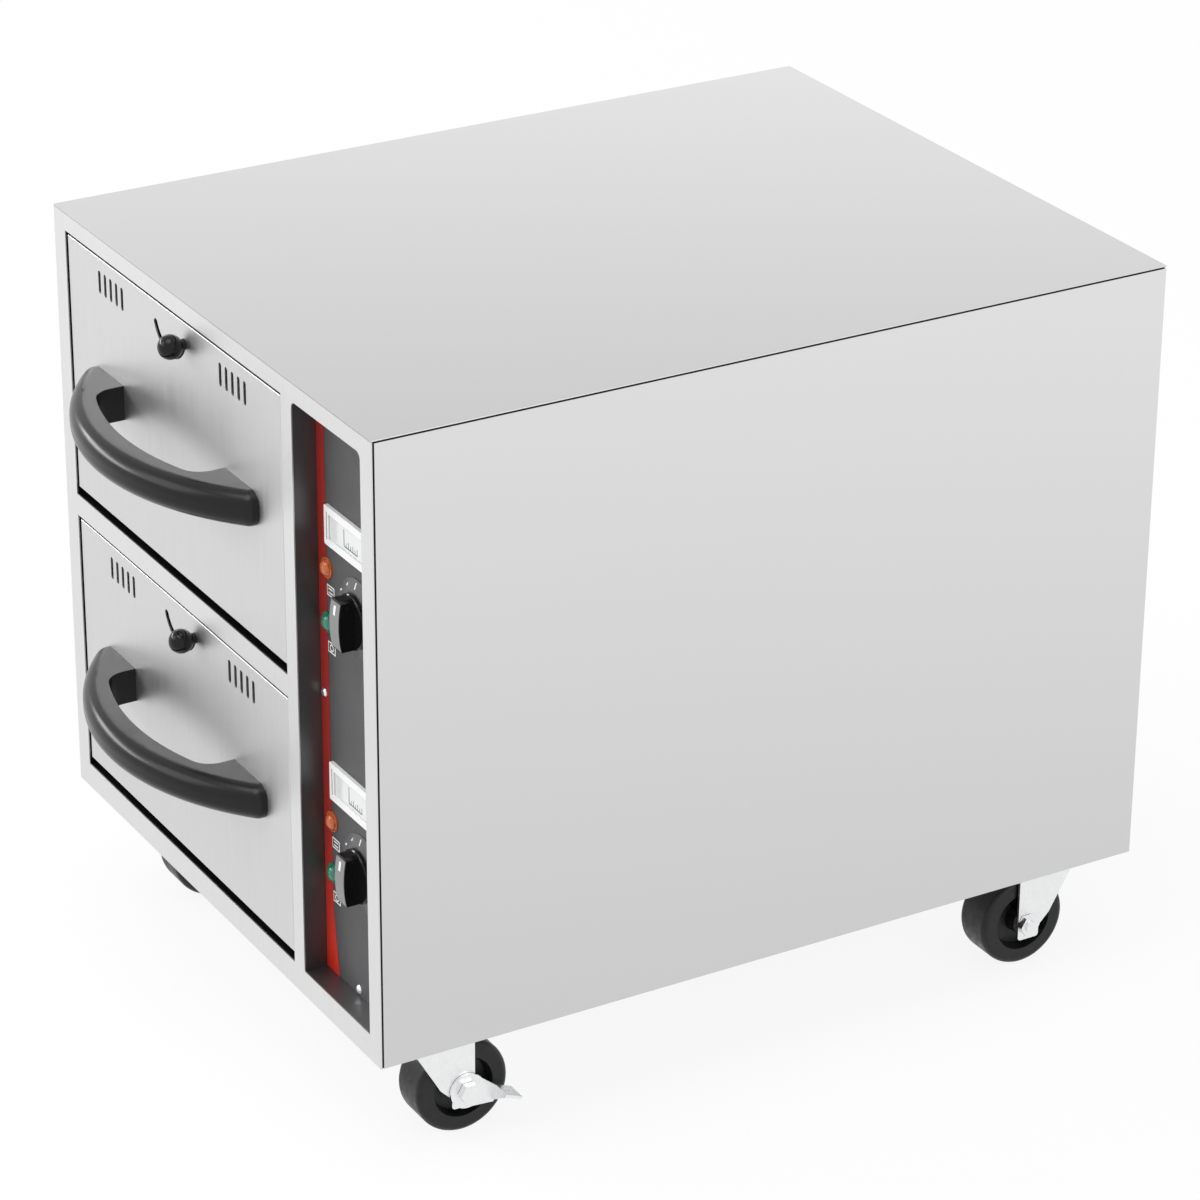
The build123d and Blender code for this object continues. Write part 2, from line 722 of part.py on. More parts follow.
def vent_places(level):
    """Middle of every vent slot in one drawer front."""
    z = front_z_range(level)[1] - vent_drop
    places = []
    for side in (-1, 1):
        for i in range(vent_count):
            offset = (i - (vent_count - 1) / 2) * vent_pitch
            places.append((drawer_mid + side * vent_spread + offset, z))
    return places


def vent_cut(level, y0, y1):
    """The vent slots of one drawer as a group of cutters."""
    slot = Rot(0, 0, 90) * SlotOverall(vent_length, vent_width)
    return [along_y(slot, y0, y1, x, z) for x, z in vent_places(level)]


def stud_places():
    """X of the two handle studs."""
    reach = handle_length / 2 - handle_stud_inset
    return [drawer_mid - reach, drawer_mid + reach]


def lever_pivot_z(level):
    return front_z_range(level)[1] - pivot_drop


def make_drawer_front(level):
    """The folded stainless front: vents, the curved slot of the vent lever and the shutter's guides."""
    z0, z1 = front_z_range(level)
    front = tray_from_front(front_x0, front_x1, face_y, inner_panel_y, z0, z1, front_sheet)
    outer_edges = front.faces().sort_by(Axis.Y)[0].outer_wire().edges()
    front = fillet(outer_edges, front_edge_radius)
    for cutter in vent_cut(level, face_y - 1, face_y + front_sheet + 1):
        front -= cutter
    pivot_z = lever_pivot_z(level)
    start = straight_down - lever_half_swing
    arc = CenterArc((0, 0), lever_reach, start, 2 * lever_half_swing)
    slot = SlotArc(arc, 2 * (stem_radius + stem_slot_clearance))
    front -= along_y(slot, face_y - 1, face_y + front_sheet + 1, drawer_mid, pivot_z)
    mid_z = (z0 + z1) / 2
    for x in stud_places():
        front -= along_y(Circle(stud_radius + stud_clearance), face_y - 1, face_y + front_sheet + 1, x, mid_z)
    front += along_y(Circle(pivot_radius), face_y + front_sheet - overlap, lever_y1, drawer_mid, pivot_z)
    for guide in make_shutter_guides(level):
        front += guide
    return front


def shutter_size(level):
    """X and Z limits of the shutter at rest."""
    half_group = (vent_count - 1) / 2 * vent_pitch + vent_width / 2
    reach = vent_spread + half_group + shutter_margin
    z = vent_places(level)[0][1]
    half = vent_length / 2 + shutter_margin
    return drawer_mid - reach, drawer_mid + reach + shutter_travel, z - half, z + half


def make_shutter_guides(level):
    """Two channels behind each group of vents that the shutter slides in."""
    x0, x1, z0, z1 = shutter_size(level)
    guides = []
    back = shutter_y1 + seam
    start_y = face_y + front_sheet - overlap
    half = (vent_count - 1) / 2 * vent_pitch + vent_width
    for side in (-1, 1):
        mid = drawer_mid + side * vent_spread
        for edge, out in ((z1, 1), (z0, -1)):
            wall = sorted((edge + out * seam, edge + out * (seam + guide_sheet)))
            lip = sorted((edge - out * guide_lip, edge + out * (seam + guide_sheet)))
            guides.append(block(mid - half, mid + half, start_y, back + guide_sheet, wall[0], wall[1]))
            guides.append(block(mid - half, mid + half, back, back + guide_sheet, lip[0], lip[1]))
            guides.append(block(mid - half, mid + half, start_y, shutter_y0 - seam, lip[0], lip[1]))
    return guides


def make_vent_shutter(level):
    """The sliding strip behind the vents, with matching slots and an upright slot for the crank pin."""
    x0, x1, z0, z1 = shutter_size(level)
    strip = block(x0, x1, shutter_y0, shutter_y1, z0, z1)
    for cutter in vent_cut(level, shutter_y0 - 1, shutter_y1 + 1):
        strip -= cutter
    pivot_z = lever_pivot_z(level)
    low = pivot_z - crank_radius - crank_pin_radius - crank_play
    high = pivot_z - crank_radius * math.cos(half_swing) + crank_pin_radius + crank_play
    slot_x = drawer_mid + shutter_travel / 2
    half = crank_pin_radius + crank_play
    return strip - block(slot_x - half, slot_x + half, shutter_y0 - 1, shutter_y1 + 1, low, high)


def make_vent_lever(level):
    """The lever plate: hub on its pivot, crank pin behind, stem for the ball in front."""
    pivot_z = lever_pivot_z(level)
    dx = math.sin(half_swing)
    dz = -math.cos(half_swing)
    stem = (drawer_mid + lever_reach * dx, pivot_z + lever_reach * dz)
    pin = (drawer_mid + crank_radius * dx, pivot_z + crank_radius * dz)
    arm = SlotCenterToCenter(lever_reach, lever_width)
    arm = Rot(0, 0, -90 + lever_half_swing) * Pos(lever_reach / 2, 0) * arm
    lever = along_y(arm, lever_y0, lever_y1, drawer_mid, pivot_z)
    lever -= along_y(Circle(pivot_radius + shaft_clearance), lever_y0 - 1, lever_y1 + 1, drawer_mid, pivot_z)
    lever += along_y(Circle(crank_pin_radius), lever_y1 - overlap, shutter_y1, pin[0], pin[1])
    stem_y0 = face_y - ball_stand_off
    lever += along_y(Circle(stem_radius), stem_y0, lever_y0 + overlap, stem[0], stem[1])
    return lever


def make_vent_ball(level):
    """The ball knob on the lever's stem, with the collar that runs over the curved slot."""
    x = drawer_mid + lever_reach * math.sin(half_swing)
    z = lever_pivot_z(level) - lever_reach * math.cos(half_swing)
    middle_y = face_y - ball_stand_off
    ball = Pos(x, middle_y, z) * Sphere(ball_radius)
    ball += along_y(Circle(ball_neck_radius), middle_y, face_y - seam, x, z)
    return ball - along_y(Circle(stem_radius + shaft_clearance), middle_y - seam, face_y, x, z)


def make_inner_panel(level):
    """The panel that closes the back of a drawer front, pierced behind the vents."""
    z0, z1 = front_z_range(level)
    t = front_sheet + seam
    x0, x1 = front_x0 + t, front_x1 - t
    z0, z1 = z0 + t, z1 - t
    y1 = inner_panel_y
    y0 = y1 - inner_panel_rim
    panel = block(x0, x1, y0, y1, z0, z1)
    panel -= block(x0 + inner_sheet, x1 - inner_sheet, y0 - 1, y1 - inner_sheet,
                   z0 + inner_sheet, z1 - inner_sheet)
    for cutter in vent_cut(level, y1 - inner_sheet - 1, y1 + 1):
        panel -= cutter
    return panel


def handle_profile():
    """The bow seen from above: x along the drawer, y towards the user."""
    half = handle_length / 2
    rise = handle_foot_rise
    outer = Curve() + [
        Line((-half, 0), (-half, rise)),
        ThreePointArc((-half, rise), (0, handle_reach), (half, rise)),
        Line((half, rise), (half, 0)),
        Line((half, 0), (-half, 0)),
    ]
    outer_face = make_face(outer)
    corners = outer_face.vertices().filter_by(lambda v: abs(v.Y - rise) < 0.01)
    outer_face = fillet(corners, handle_end_radius)
    inside = half - handle_foot
    depth = handle_reach - handle_grip
    side_depth = depth - handle_shoulder
    inner = Curve() + [
        Line((-inside, -1), (-inside, side_depth)),
        ThreePointArc((-inside, side_depth), (0, depth), (inside, side_depth)),
        Line((inside, side_depth), (inside, -1)),
        Line((inside, -1), (-inside, -1)),
    ]
    inner_face = make_face(inner)
    corners = inner_face.vertices().filter_by(lambda v: abs(v.Y - side_depth) < 0.01)
    inner_face = fillet(corners, handle_palm_radius)
    return outer_face - inner_face


def make_handle(level):
    """The moulded bow handle with its two moulded-in studs, and their nuts."""
    z0, z1 = front_z_range(level)
    mid_z = (z0 + z1) / 2
    flat = Plane(origin=(drawer_mid, face_y, mid_z + handle_height / 2), x_dir=(1, 0, 0), z_dir=(0, 0, -1))
    bow = flat * extrude(handle_profile(), handle_height)
    edges = []
    for edge in bow.edges():
        middle = edge @ 0.5
        level_edge = abs((edge @ 0).Z - (edge @ 1).Z) < 0.01
        across = abs(middle.X - drawer_mid)
        ahead = face_y - middle.Y
        if level_edge and ahead > 0.1 and is_outer_edge(across, ahead):
            edges.append(edge)
    bow = fillet(edges, handle_round)
    for x in stud_places():
        end = face_y + front_sheet + stud_nut_height + stud_end
        bow += along_y(Circle(stud_radius), face_y - stud_root, end, x, mid_z)
    pieces = [bow]
    for x in stud_places():
        nut = RegularPolygon(stud_nut_width / 2, 6, major_radius=False)
        nut -= Circle(stud_radius + thread_clearance)
        y0 = face_y + front_sheet
        pieces.append(along_y(nut, y0, y0 + stud_nut_height, x, mid_z))
    return pieces


def is_outer_edge(across, ahead):
    """True for a point of the handle's plan on its outer line."""
    inside = handle_length / 2 - handle_foot
    return across > inside + 1 or ahead > handle_reach - handle_grip + 1


def make_pan(level):
    """The lift-out food pan: a drawn tapered body with rounded corners and a turned-down rim."""
    rim_z = support_z(level) + seam + pan_lip
    mid_y = (pan_y0 + pan_y1) / 2
    width = 2 * pan_body_half
    length = pan_length - 2 * pan_rim
    body = extrude(RectangleRounded(width, length, pan_corner), -pan_depth, taper=pan_taper)
    inside = extrude(RectangleRounded(width - 2 * pan_sheet, length - 2 * pan_sheet, pan_corner - pan_sheet),
                     -(pan_depth - pan_sheet), taper=pan_taper)
    rim = extrude(RectangleRounded(pan_width, pan_length, pan_rim_corner), -pan_lip)
    rim -= extrude(RectangleRounded(pan_width - 2 * pan_sheet, pan_length - 2 * pan_sheet,
                                    pan_rim_corner - pan_sheet), -pan_lip)
    brim = extrude(RectangleRounded(pan_width, pan_length, pan_rim_corner), pan_sheet)
    brim -= extrude(RectangleRounded(width - 2 * pan_sheet, length - 2 * pan_sheet,
                                     pan_corner - pan_sheet), pan_sheet)
    return Pos(drawer_mid, mid_y, rim_z) * (brim + rim + (body - inside))


def support_z(level):
    """Height of the carrier's top flange, which the pan's rim stands on."""
    return floor_of[level] + opening_height - pan_headroom


def slide_z(level):
    return support_z(level) - slide_below_rim


def make_carrier(level):
    """The carrier behind a drawer front: two folded side members and a rear cross member."""
    top = support_z(level)
    low = slide_z(level) - slide_height / 2 - carrier_skirt
    t = carrier_sheet
    y0 = inner_panel_y
    y1 = carrier_y1
    inner_edge = pan_body_half + pan_side_clearance
    carrier = None
    for side in (-1, 1):
        outer = side * carrier_half
        members = [
            (outer, outer - side * t, y0, y1, low, top),
            (outer, side * inner_edge, y0, y1, top - t, top),
            (outer, outer - side * carrier_flange, y0, y1, low, low + t),
            (outer, outer - side * carrier_front_flange, y0, y0 + t, low, top),
        ]
        for xa, xb, ya, yb, za, zb in members:
            xl, xh = sorted((xa + drawer_mid, xb + drawer_mid))
            piece = block(xl, xh, ya, yb, za, zb)
            carrier = piece if carrier is None else carrier + piece
    x0 = drawer_mid - carrier_half
    x1 = drawer_mid + carrier_half
    carrier += block(x0, x1, y1 - t, y1, low, top)
    carrier += block(x0, x1, y1 - carrier_flange, y1, low, low + t)
    return carrier


# ================================================================ telescopic slides
def slide_channel(outer_height, web, reach, wall_side):
    """A channel section in X-Z: web against x = web, flanges to x = reach, seen from the front."""
    x0, x1 = sorted((web, reach))
    section = Pos((x0 + x1) / 2, 0) * Rectangle(x1 - x0, outer_height)
    inner0 = x0 + slide_sheet if wall_side < 0 else x0 - 1
    inner1 = x1 + 1 if wall_side < 0 else x1 - slide_sheet
    return section - Pos((inner0 + inner1) / 2, 0) * Rectangle(inner1 - inner0, outer_height - 2 * slide_sheet)


def make_slide_rails(level, member):
    """Both rails of one member, outer, middle or inner, of a drawer's pair of slides."""
    rails = []
    nest = slide_sheet + seam
    for side in (-1, 1):
        wall = drawer_mid + side * drawer_opening_width / 2
        if member == "outer":
            section = slide_channel(slide_height, wall, wall - side * (slide_depth - slide_edge_gap), side)
        elif member == "middle":
            section = slide_channel(slide_height - 2 * nest, wall - side * nest,
                                    wall - side * (slide_depth - slide_edge_gap), side)
        else:
            section = slide_channel(slide_height - 4 * nest, wall - side * slide_depth,
                                    wall - side * (slide_depth - slide_inner_reach), -side)
        rails.append(along_y(section, slide_y0, slide_y1, 0, slide_z(level)))
    return rails


# ================================================================ casters
def caster_rows():
    """Y of the front and rear swivel axes."""
    return [front_y + caster_inset_front, back_y - caster_inset_rear]


def caster_places():
    """Name, swivel axis and trailing direction of each caster."""
    x = right_x - caster_inset_side
    front, rear = caster_rows()
    return [("front_left", -x, front, 1), ("front_right", x, front, 1),
            ("rear_left", -x, rear, -1), ("rear_right", x, rear, -1)]


def caster_bolt_places():
    """The four bolts of every caster plate."""
    places = []
    for name, x, y, trail in caster_places():
        for sx in (-1, 1):
            for sy in (-1, 1):
                places.append((x + sx * bolt_spacing_x / 2, y + sy * bolt_spacing_y / 2))
    return places


def make_caster_plate(x, y):
    """The top plate with its raceway boss and the riveted king pin."""
    plate = along_z(RectangleRounded(plate_width, plate_length, plate_corner), plate_z0, base_z)
    for sx in (-1, 1):
        for sy in (-1, 1):
            hole = Circle(bolt_radius + bolt_clearance)
            plate -= along_z(hole, plate_z0 - 1, base_z + 1, sx * bolt_spacing_x / 2, sy * bolt_spacing_y / 2)
    race_low = crown_z1 + race_gap
    plate += Pos(0, 0, race_low) * extrude(Circle(race_radius), plate_z0 - race_low)
    pin_low = crown_z1 - fork_sheet - race_gap
    plate += along_z(Circle(king_pin_radius), pin_low, plate_z0)
    plate += along_z(Circle(king_head_radius), pin_low - king_head_height, pin_low)
    return Pos(x, y, 0) * plate


def make_fork():
    """A pressed fork: a round crown with two tapering legs, trailing towards +Y."""
    axle = wheel_radius
    top = crown_z1 - fork_sheet
    rear = caster_trail + fork_foot_rear
    y0 = fork_crown_shift - fork_leg_top / 2
    crown = Circle(race_radius + fork_crown_border)
    crown += Pos(0, (y0 + rear) / 2) * Rectangle(2 * leg_outer, rear - y0)
    fork = along_z(crown, top, crown_z1)
    fork -= along_z(Circle(king_pin_radius + king_pin_clearance), top - 1, crown_z1 + 1)
    foot = axle - fork_foot
    leg = Polyline((y0, crown_z1), (y0, top), (caster_trail - fork_waist_front, axle + fork_waist_rise),
                   (caster_trail - fork_foot_front, axle - fork_waist_rise),
                   (caster_trail - fork_foot_front, foot), (rear, foot), (rear, crown_z1), close=True)
    leg_face = make_face(leg)
    corners = leg_face.vertices().filter_by(lambda v: v.Y < top - 1)
    leg_face = fillet(corners, fork_corner)
    for side in (-1, 1):
        x0, x1 = sorted((side * leg_inner, side * leg_outer))
        fork += along_x(leg_face, x0, x1)
    fork -= along_x(Circle(axle_radius + axle_hole_clearance), -leg_outer - 1, leg_outer + 1, caster_trail, axle)
    return fork


def make_axle(with_brake):
    """The axle bolt with its hexagon head, and the nut on the other leg."""
    right = leg_outer + seam + (brake_sheet + seam if with_brake else 0)
    left = -leg_outer - seam
    hexagon = RegularPolygon(axle_head_width / 2, 6, major_radius=False)
    bolt = along_x(Circle(axle_radius), left - axle_head_height - axle_thread_end, right + overlap,
                   caster_trail, wheel_radius)
    bolt += along_x(hexagon, right, right + axle_head_height, caster_trail, wheel_radius)
    nut = along_x(hexagon - Circle(axle_radius + thread_clearance), left - axle_head_height, left,
                  caster_trail, wheel_radius)
    return [bolt, nut]


def make_wheel():
    """A moulded wheel: rounded tread, dished sides and a hub that fills the fork."""
    half = wheel_width / 2
    hub_half = leg_inner - seam
    bore = axle_radius + axle_clearance
    web = -half + wheel_dish_depth
    outline = [(bore, -hub_half), (wheel_hub_radius, -hub_half), (wheel_hub_radius + wheel_hub_draft, web),
               (wheel_dish_radius - wheel_dish_draft, web), (wheel_dish_radius, -half),
               (wheel_radius - tread_round, -half)]
    for i in range(1, tread_steps):
        angle = math.pi / 2 * i / tread_steps
        outline.append((wheel_radius - tread_round + tread_round * math.sin(angle),
                        -half + tread_round - tread_round * math.cos(angle)))
    outline.append((wheel_radius, -half + tread_round))
    mirrored = [(r, -x) for r, x in reversed(outline)]
    face = make_face(Polyline(*(outline + mirrored), close=True))
    wheel = revolve(face, Axis.Y)
    return Pos(0, caster_trail, wheel_radius) * (Rot(0, 0, -90) * wheel)


def make_brake_lever():
    """The brake lever on the right leg: a round eye on the axle, an arm, and a bent-out foot pedal."""
    x0 = leg_outer + seam
    x1 = x0 + brake_sheet
    x2 = x0 + pedal_width
    end = brake_reach + brake_sheet
    low = brake_rise - brake_root
    arm = make_face(Polyline((0, brake_radius), (brake_reach, brake_rise), (end, brake_rise), (end, low),
                             (0, -brake_radius), close=True))
    lever = along_x(Circle(brake_radius) + arm, x0, x1)
    lever += block(x0, x2, brake_reach, brake_reach + pedal_length, brake_rise - brake_sheet, brake_rise)
    web = make_face(Polyline((x0, low), (x2, brake_rise - brake_sheet), (x2, brake_rise), (x0, brake_rise),
                             close=True))
    lever += along_y(web, brake_reach, end)
    lever -= along_x(Circle(axle_radius + axle_clearance), x0 - 1, x1 + 1)
    lever = lever.rotate(Axis.X, -brake_drop)
    return Pos(0, caster_trail, wheel_radius) * lever


def caster_placed(shape, x, y, trail):
    """A caster piece moved to its swivel axis, turned round where the wheel trails forwards."""
    turn = 0 if trail > 0 else 180
    return Pos(x, y, 0) * (Rot(0, 0, turn) * shape)


def make_caster_bolts():
    """The hexagon bolts that hold the caster plates to the base."""
    bolts = []
    hexagon = RegularPolygon(bolt_head_width / 2, 6, major_radius=False)
    for x, y in caster_bolt_places():
        bolt = along_z(hexagon, plate_z0 - bolt_head_height, plate_z0, x, y)
        bolt += along_z(Circle(bolt_radius), plate_z0 - overlap, base_z + bolt_above_base, x, y)
        bolts.append(bolt)
    return bolts


# ================================================================ all the pieces
def all_pieces():
    """Every piece as a node name and its solids."""
    pieces = {
        "front_frame": make_front_frame(),
        "top_panel": make_top_panel(),
        "left_side_panel": make_side_panel(-1),
        "right_side_panel": make_side_panel(1),
        "back_panel": make_back_panel(),
        "base_panel": make_base_panel(),
        "base_channels": make_base_channels(),
        "cavity_liner": make_cavity_liner(),
        "divider_shelf": make_divider_shelf(),
        "insulation": make_insulation(),
        "heaters": make_heater("lower") + make_heater("upper"),
        "control_panel": make_control_panel(),
        "trim_stripe": make_stripe(),
        "panel_screws": make_panel_screws(),
        "thermometers": [make_thermometer(zone) for zone in zone_z],
        "thermometer_windows": [make_window(zone) for zone in zone_z],
        "amber_lamps": [make_lamp(z + lamp_rise) for z in zone_z.values()],
        "green_lamps": [make_lamp(z - lamp_rise) for z in zone_z.values()],
        "dial_rings": [make_dial(z) for z in zone_z.values()],
        "thermostats": [make_thermostat(z) for z in zone_z.values()],
        "cord_gland": make_cord_gland(),
        "slide_outer_rails": make_slide_rails("lower", "outer") + make_slide_rails("upper", "outer"),
        "caster_plates": [make_caster_plate(x, y) for name, x, y, trail in caster_places()],
        "caster_bolts": make_caster_bolts(),
    }
    for level in ("upper", "lower"):
        pieces[level + "_drawer_front"] = make_drawer_front(level)
        pieces[level + "_inner_panel"] = make_inner_panel(level)
        pieces[level + "_handle"] = make_handle(level)
        pieces[level + "_carrier"] = make_carrier(level)
        pieces[level + "_food_pan"] = make_pan(level)
        pieces[level + "_slide_inner_rails"] = make_slide_rails(level, "inner")
        pieces[level + "_slide_middle_rails"] = make_slide_rails(level, "middle")
        pieces[level + "_vent_lever"] = make_vent_lever(level)
        pieces[level + "_vent_ball"] = make_vent_ball(level)
        pieces[level + "_vent_shutter"] = make_vent_shutter(level)
        pieces[level + "_knob"] = make_knob(zone_z[level])
    for name, x, y, trail in caster_places():
        has_brake = trail > 0
        pieces[name + "_fork"] = caster_placed(make_fork(), x, y, trail)
        pieces[name + "_axle"] = [caster_placed(piece, x, y, trail) for piece in make_axle(has_brake)]
        pieces[name + "_wheel"] = caster_placed(make_wheel(), x, y, trail)
        if has_brake:
            pieces[name + "_brake"] = caster_placed(make_brake_lever(), x, y, trail)
    return pieces


def solids_of(shape):
    """A flat list of the solids in a shape or a list of shapes."""
    if isinstance(shape, (list, tuple)):
        return [solid for item in shape for solid in solids_of(item)]
    return list(shape.solids())


os.makedirs("parts", exist_ok=True)
for node, shape in all_pieces().items():
    solids = solids_of(shape)
    whole = solids[0] if len(solids) == 1 else Compound(children=solids)
    whole.label = node
    export_step(whole, "parts/" + node + ".step")
    print(node, len(solids), "solids, volume", round(sum(solid.volume for solid in solids)))
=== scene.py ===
import math

import bpy
from mathutils import Matrix, Vector


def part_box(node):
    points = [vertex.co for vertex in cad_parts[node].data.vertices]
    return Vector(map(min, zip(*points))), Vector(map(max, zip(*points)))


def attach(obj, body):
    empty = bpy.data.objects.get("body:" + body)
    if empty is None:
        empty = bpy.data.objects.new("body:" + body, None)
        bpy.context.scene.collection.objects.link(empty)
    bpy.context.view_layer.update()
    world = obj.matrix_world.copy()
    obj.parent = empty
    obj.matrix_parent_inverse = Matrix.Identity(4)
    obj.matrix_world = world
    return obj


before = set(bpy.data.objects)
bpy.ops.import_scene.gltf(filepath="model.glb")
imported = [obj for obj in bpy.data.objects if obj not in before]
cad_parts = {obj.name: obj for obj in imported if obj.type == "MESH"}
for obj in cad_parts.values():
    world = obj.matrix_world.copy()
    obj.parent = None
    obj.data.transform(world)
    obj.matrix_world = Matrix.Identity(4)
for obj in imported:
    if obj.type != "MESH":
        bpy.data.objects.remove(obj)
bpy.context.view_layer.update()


# ------------------------------------------------------------------ base tray and its channels
# The cabinet stands on a folded tray of galvanised sheet.  Two channels across it, spot-welded
# to its floor, spread the load of the casters.  The zinc shows a faint spangle.
galvanised_colour = (0.60, 0.615, 0.625)
spangle_size = 0.012


def new_finish(name, colour, metallic, roughness):
    """A material with one shader, ready for its grain."""
    finish = bpy.data.materials.new(name)
    finish.use_nodes = True
    shader = finish.node_tree.nodes["Principled BSDF"]
    shader.inputs["Base Color"].default_value = (*colour, 1)
    shader.inputs["Metallic"].default_value = metallic
    shader.inputs["Roughness"].default_value = roughness
    return finish


def object_place(finish, spread):
    """The object's own coordinates, drawn out by spread along X, Y and Z."""
    nodes = finish.node_tree.nodes
    place = nodes.new("ShaderNodeTexCoord")
    mapping = nodes.new("ShaderNodeMapping")
    mapping.inputs["Scale"].default_value = spread
    finish.node_tree.links.new(place.outputs["Object"], mapping.inputs["Vector"])
    return mapping.outputs["Vector"]


def noise_at(finish, spread, detail=4.0):
    """Noise whose number of waves in a metre along X, Y and Z is spread."""
    noise = finish.node_tree.nodes.new("ShaderNodeTexNoise")
    noise.inputs["Scale"].default_value = 1.0
    noise.inputs["Detail"].default_value = detail
    finish.node_tree.links.new(object_place(finish, spread), noise.inputs["Vector"])
    return noise.outputs["Fac"]


def vary(finish, socket, value, low, high):
    """A shader socket that follows a texture, from low to high."""
    nodes = finish.node_tree.nodes
    spread = nodes.new("ShaderNodeMapRange")
    spread.inputs["From Min"].default_value = 0.3
    spread.inputs["From Max"].default_value = 0.7
    spread.inputs["To Min"].default_value = low
    spread.inputs["To Max"].default_value = high
    finish.node_tree.links.new(value, spread.inputs["Value"])
    finish.node_tree.links.new(spread.outputs["Result"], nodes["Principled BSDF"].inputs[socket])


def vary_colour(finish, value, dark, light):
    """The base colour runs from dark to light with a texture."""
    nodes = finish.node_tree.nodes
    ramp = nodes.new("ShaderNodeValToRGB")
    ramp.color_ramp.elements[0].position = 0.3
    ramp.color_ramp.elements[0].color = (*dark, 1)
    ramp.color_ramp.elements[1].position = 0.7
    ramp.color_ramp.elements[1].color = (*light, 1)
    finish.node_tree.links.new(value, ramp.inputs["Fac"])
    finish.node_tree.links.new(ramp.outputs["Color"], nodes["Principled BSDF"].inputs["Base Color"])


def shade(colour, factor):
    """The same colour, lighter or darker."""
    return tuple(channel * factor for channel in colour)


def dress(nodes, finish):
    """Gives CAD nodes their finish."""
    for name in nodes:
        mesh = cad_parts[name].data
        mesh.materials.clear()
        mesh.materials.append(finish)


def make_galvanised_finish():
    """Zinc with crystals of slightly different brightness."""
    finish = new_finish("galvanised_sheet", galvanised_colour, 1.0, 0.45)
    spangle = finish.node_tree.nodes.new("ShaderNodeTexVoronoi")
    spangle.inputs["Scale"].default_value = 1.0
    waves = 1 / spangle_size
    finish.node_tree.links.new(object_place(finish, (waves, waves, waves)), spangle.inputs["Vector"])
    vary_colour(finish, spangle.outputs["Color"], shade(galvanised_colour, 0.94),
                shade(galvanised_colour, 1.05))
    vary(finish, "Roughness", noise_at(finish, (90, 90, 90)), 0.36, 0.52)
    return finish


galvanised = make_galvanised_finish()
dress(["base_panel", "base_channels"], galvanised)


# ------------------------------------------------------------------ cavity liner and divider
# The two drawer cavities are one welded box of mill-finish stainless sheet, with a hollow
# shelf across it.  The rolling grain runs from front to back and heat has dulled it a little.
mill_colour = (0.60, 0.595, 0.585)


def dent(finish, value, strength, depth):
    """Fine relief from a texture; depth is in metres."""
    nodes = finish.node_tree.nodes
    bump = nodes.new("ShaderNodeBump")
    bump.inputs["Strength"].default_value = strength
    bump.inputs["Distance"].default_value = depth
    finish.node_tree.links.new(value, bump.inputs["Height"])
    finish.node_tree.links.new(bump.outputs["Normal"], nodes["Principled BSDF"].inputs["Normal"])


def make_mill_finish(name="mill_stainless"):
    """Rolled stainless: a long soft grain and a slightly uneven gloss."""
    finish = new_finish(name, mill_colour, 1.0, 0.38)
    grain = noise_at(finish, (700, 12, 700))
    vary_colour(finish, grain, shade(mill_colour, 0.93), shade(mill_colour, 1.04))
    vary(finish, "Roughness", noise_at(finish, (260, 9, 260)), 0.30, 0.46)
    dent(finish, grain, 0.12, 0.0002)
    return finish


mill_stainless = make_mill_finish()
dress(["cavity_liner", "divider_shelf", "upper_carrier", "lower_carrier"], mill_stainless)


# ------------------------------------------------------------------ insulation
# Slabs of pale mineral wool fill the space between the liner and the outer sheets.  They are
# cut from a mat, so the surface is matted and uneven in colour.
wool_colour = (0.70, 0.62, 0.40)


def make_wool_finish():
    """Matted fibres."""
    finish = new_finish("mineral_wool", wool_colour, 0.0, 0.95)
    fibres = noise_at(finish, (300, 90, 300), 8.0)
    vary_colour(finish, fibres, shade(wool_colour, 0.75), shade(wool_colour, 1.15))
    vary(finish, "Roughness", fibres, 0.88, 1.0)
    dent(finish, fibres, 0.8, 0.002)
    return finish


dress(["insulation"], make_wool_finish())


# ------------------------------------------------------------------ heating elements
# Each cavity has a bent tubular element low above its floor.  Its alloy sheath has gone dull
# and straw-brown with heat, in patches.
sheath_colour = (0.24, 0.21, 0.19)


def make_sheath_finish():
    """Heat-darkened alloy."""
    finish = new_finish("heater_sheath", sheath_colour, 1.0, 0.5)
    patches = noise_at(finish, (25, 25, 25))
    vary_colour(finish, patches, shade(sheath_colour, 0.7), (0.34, 0.27, 0.20))
    vary(finish, "Roughness", noise_at(finish, (400, 400, 400)), 0.42, 0.6)
    return finish


dress(["heaters"], make_sheath_finish())


# ------------------------------------------------------------------ back panel
# The back is one galvanised sheet, with hooded louvres pressed into it behind the controls
# and the hole for the supply cord's gland.
dress(["back_panel"], galvanised)


# ------------------------------------------------------------------ top and side panels
# The top and the sides are stainless sheet with a very fine satin grain that runs from front
# to back.  Their folded edges leave an open joint, painted black behind the skin as shade.
# Painted light changes each sheet's tone slowly: the sides get lighter upwards, the top
# towards its far left corner.
# Painted light: each sheet goes from its painted shade colour to its painted light colour along its
# slope.
side_painted_shade_colour = (0.615, 0.615, 0.615)
side_painted_light_colour = (0.753, 0.753, 0.753)
top_painted_shade_colour = (0.572, 0.572, 0.572)
top_painted_light_colour = (0.750, 0.750, 0.750)
# Painted shade: the sheet behind a panel's skin is black where its open joint lies in shade.
panel_joint_shade_colour = (0.02, 0.02, 0.02)
side_painted_light_slope = (0, 0.29, 1.025)       # the way in which a side gets lighter
side_painted_light_span = (0.06, 0.72)      # metres along it, from the low to the high colour
top_painted_light_slope = (-0.498, 0.29, 0)
top_painted_light_span = (-0.232, 0.245)
skin_depth = 0.0014                 # outer face of a panel to the dark of its joint
joint_shade_blend = 0.0002                # width of the change from skin to joint


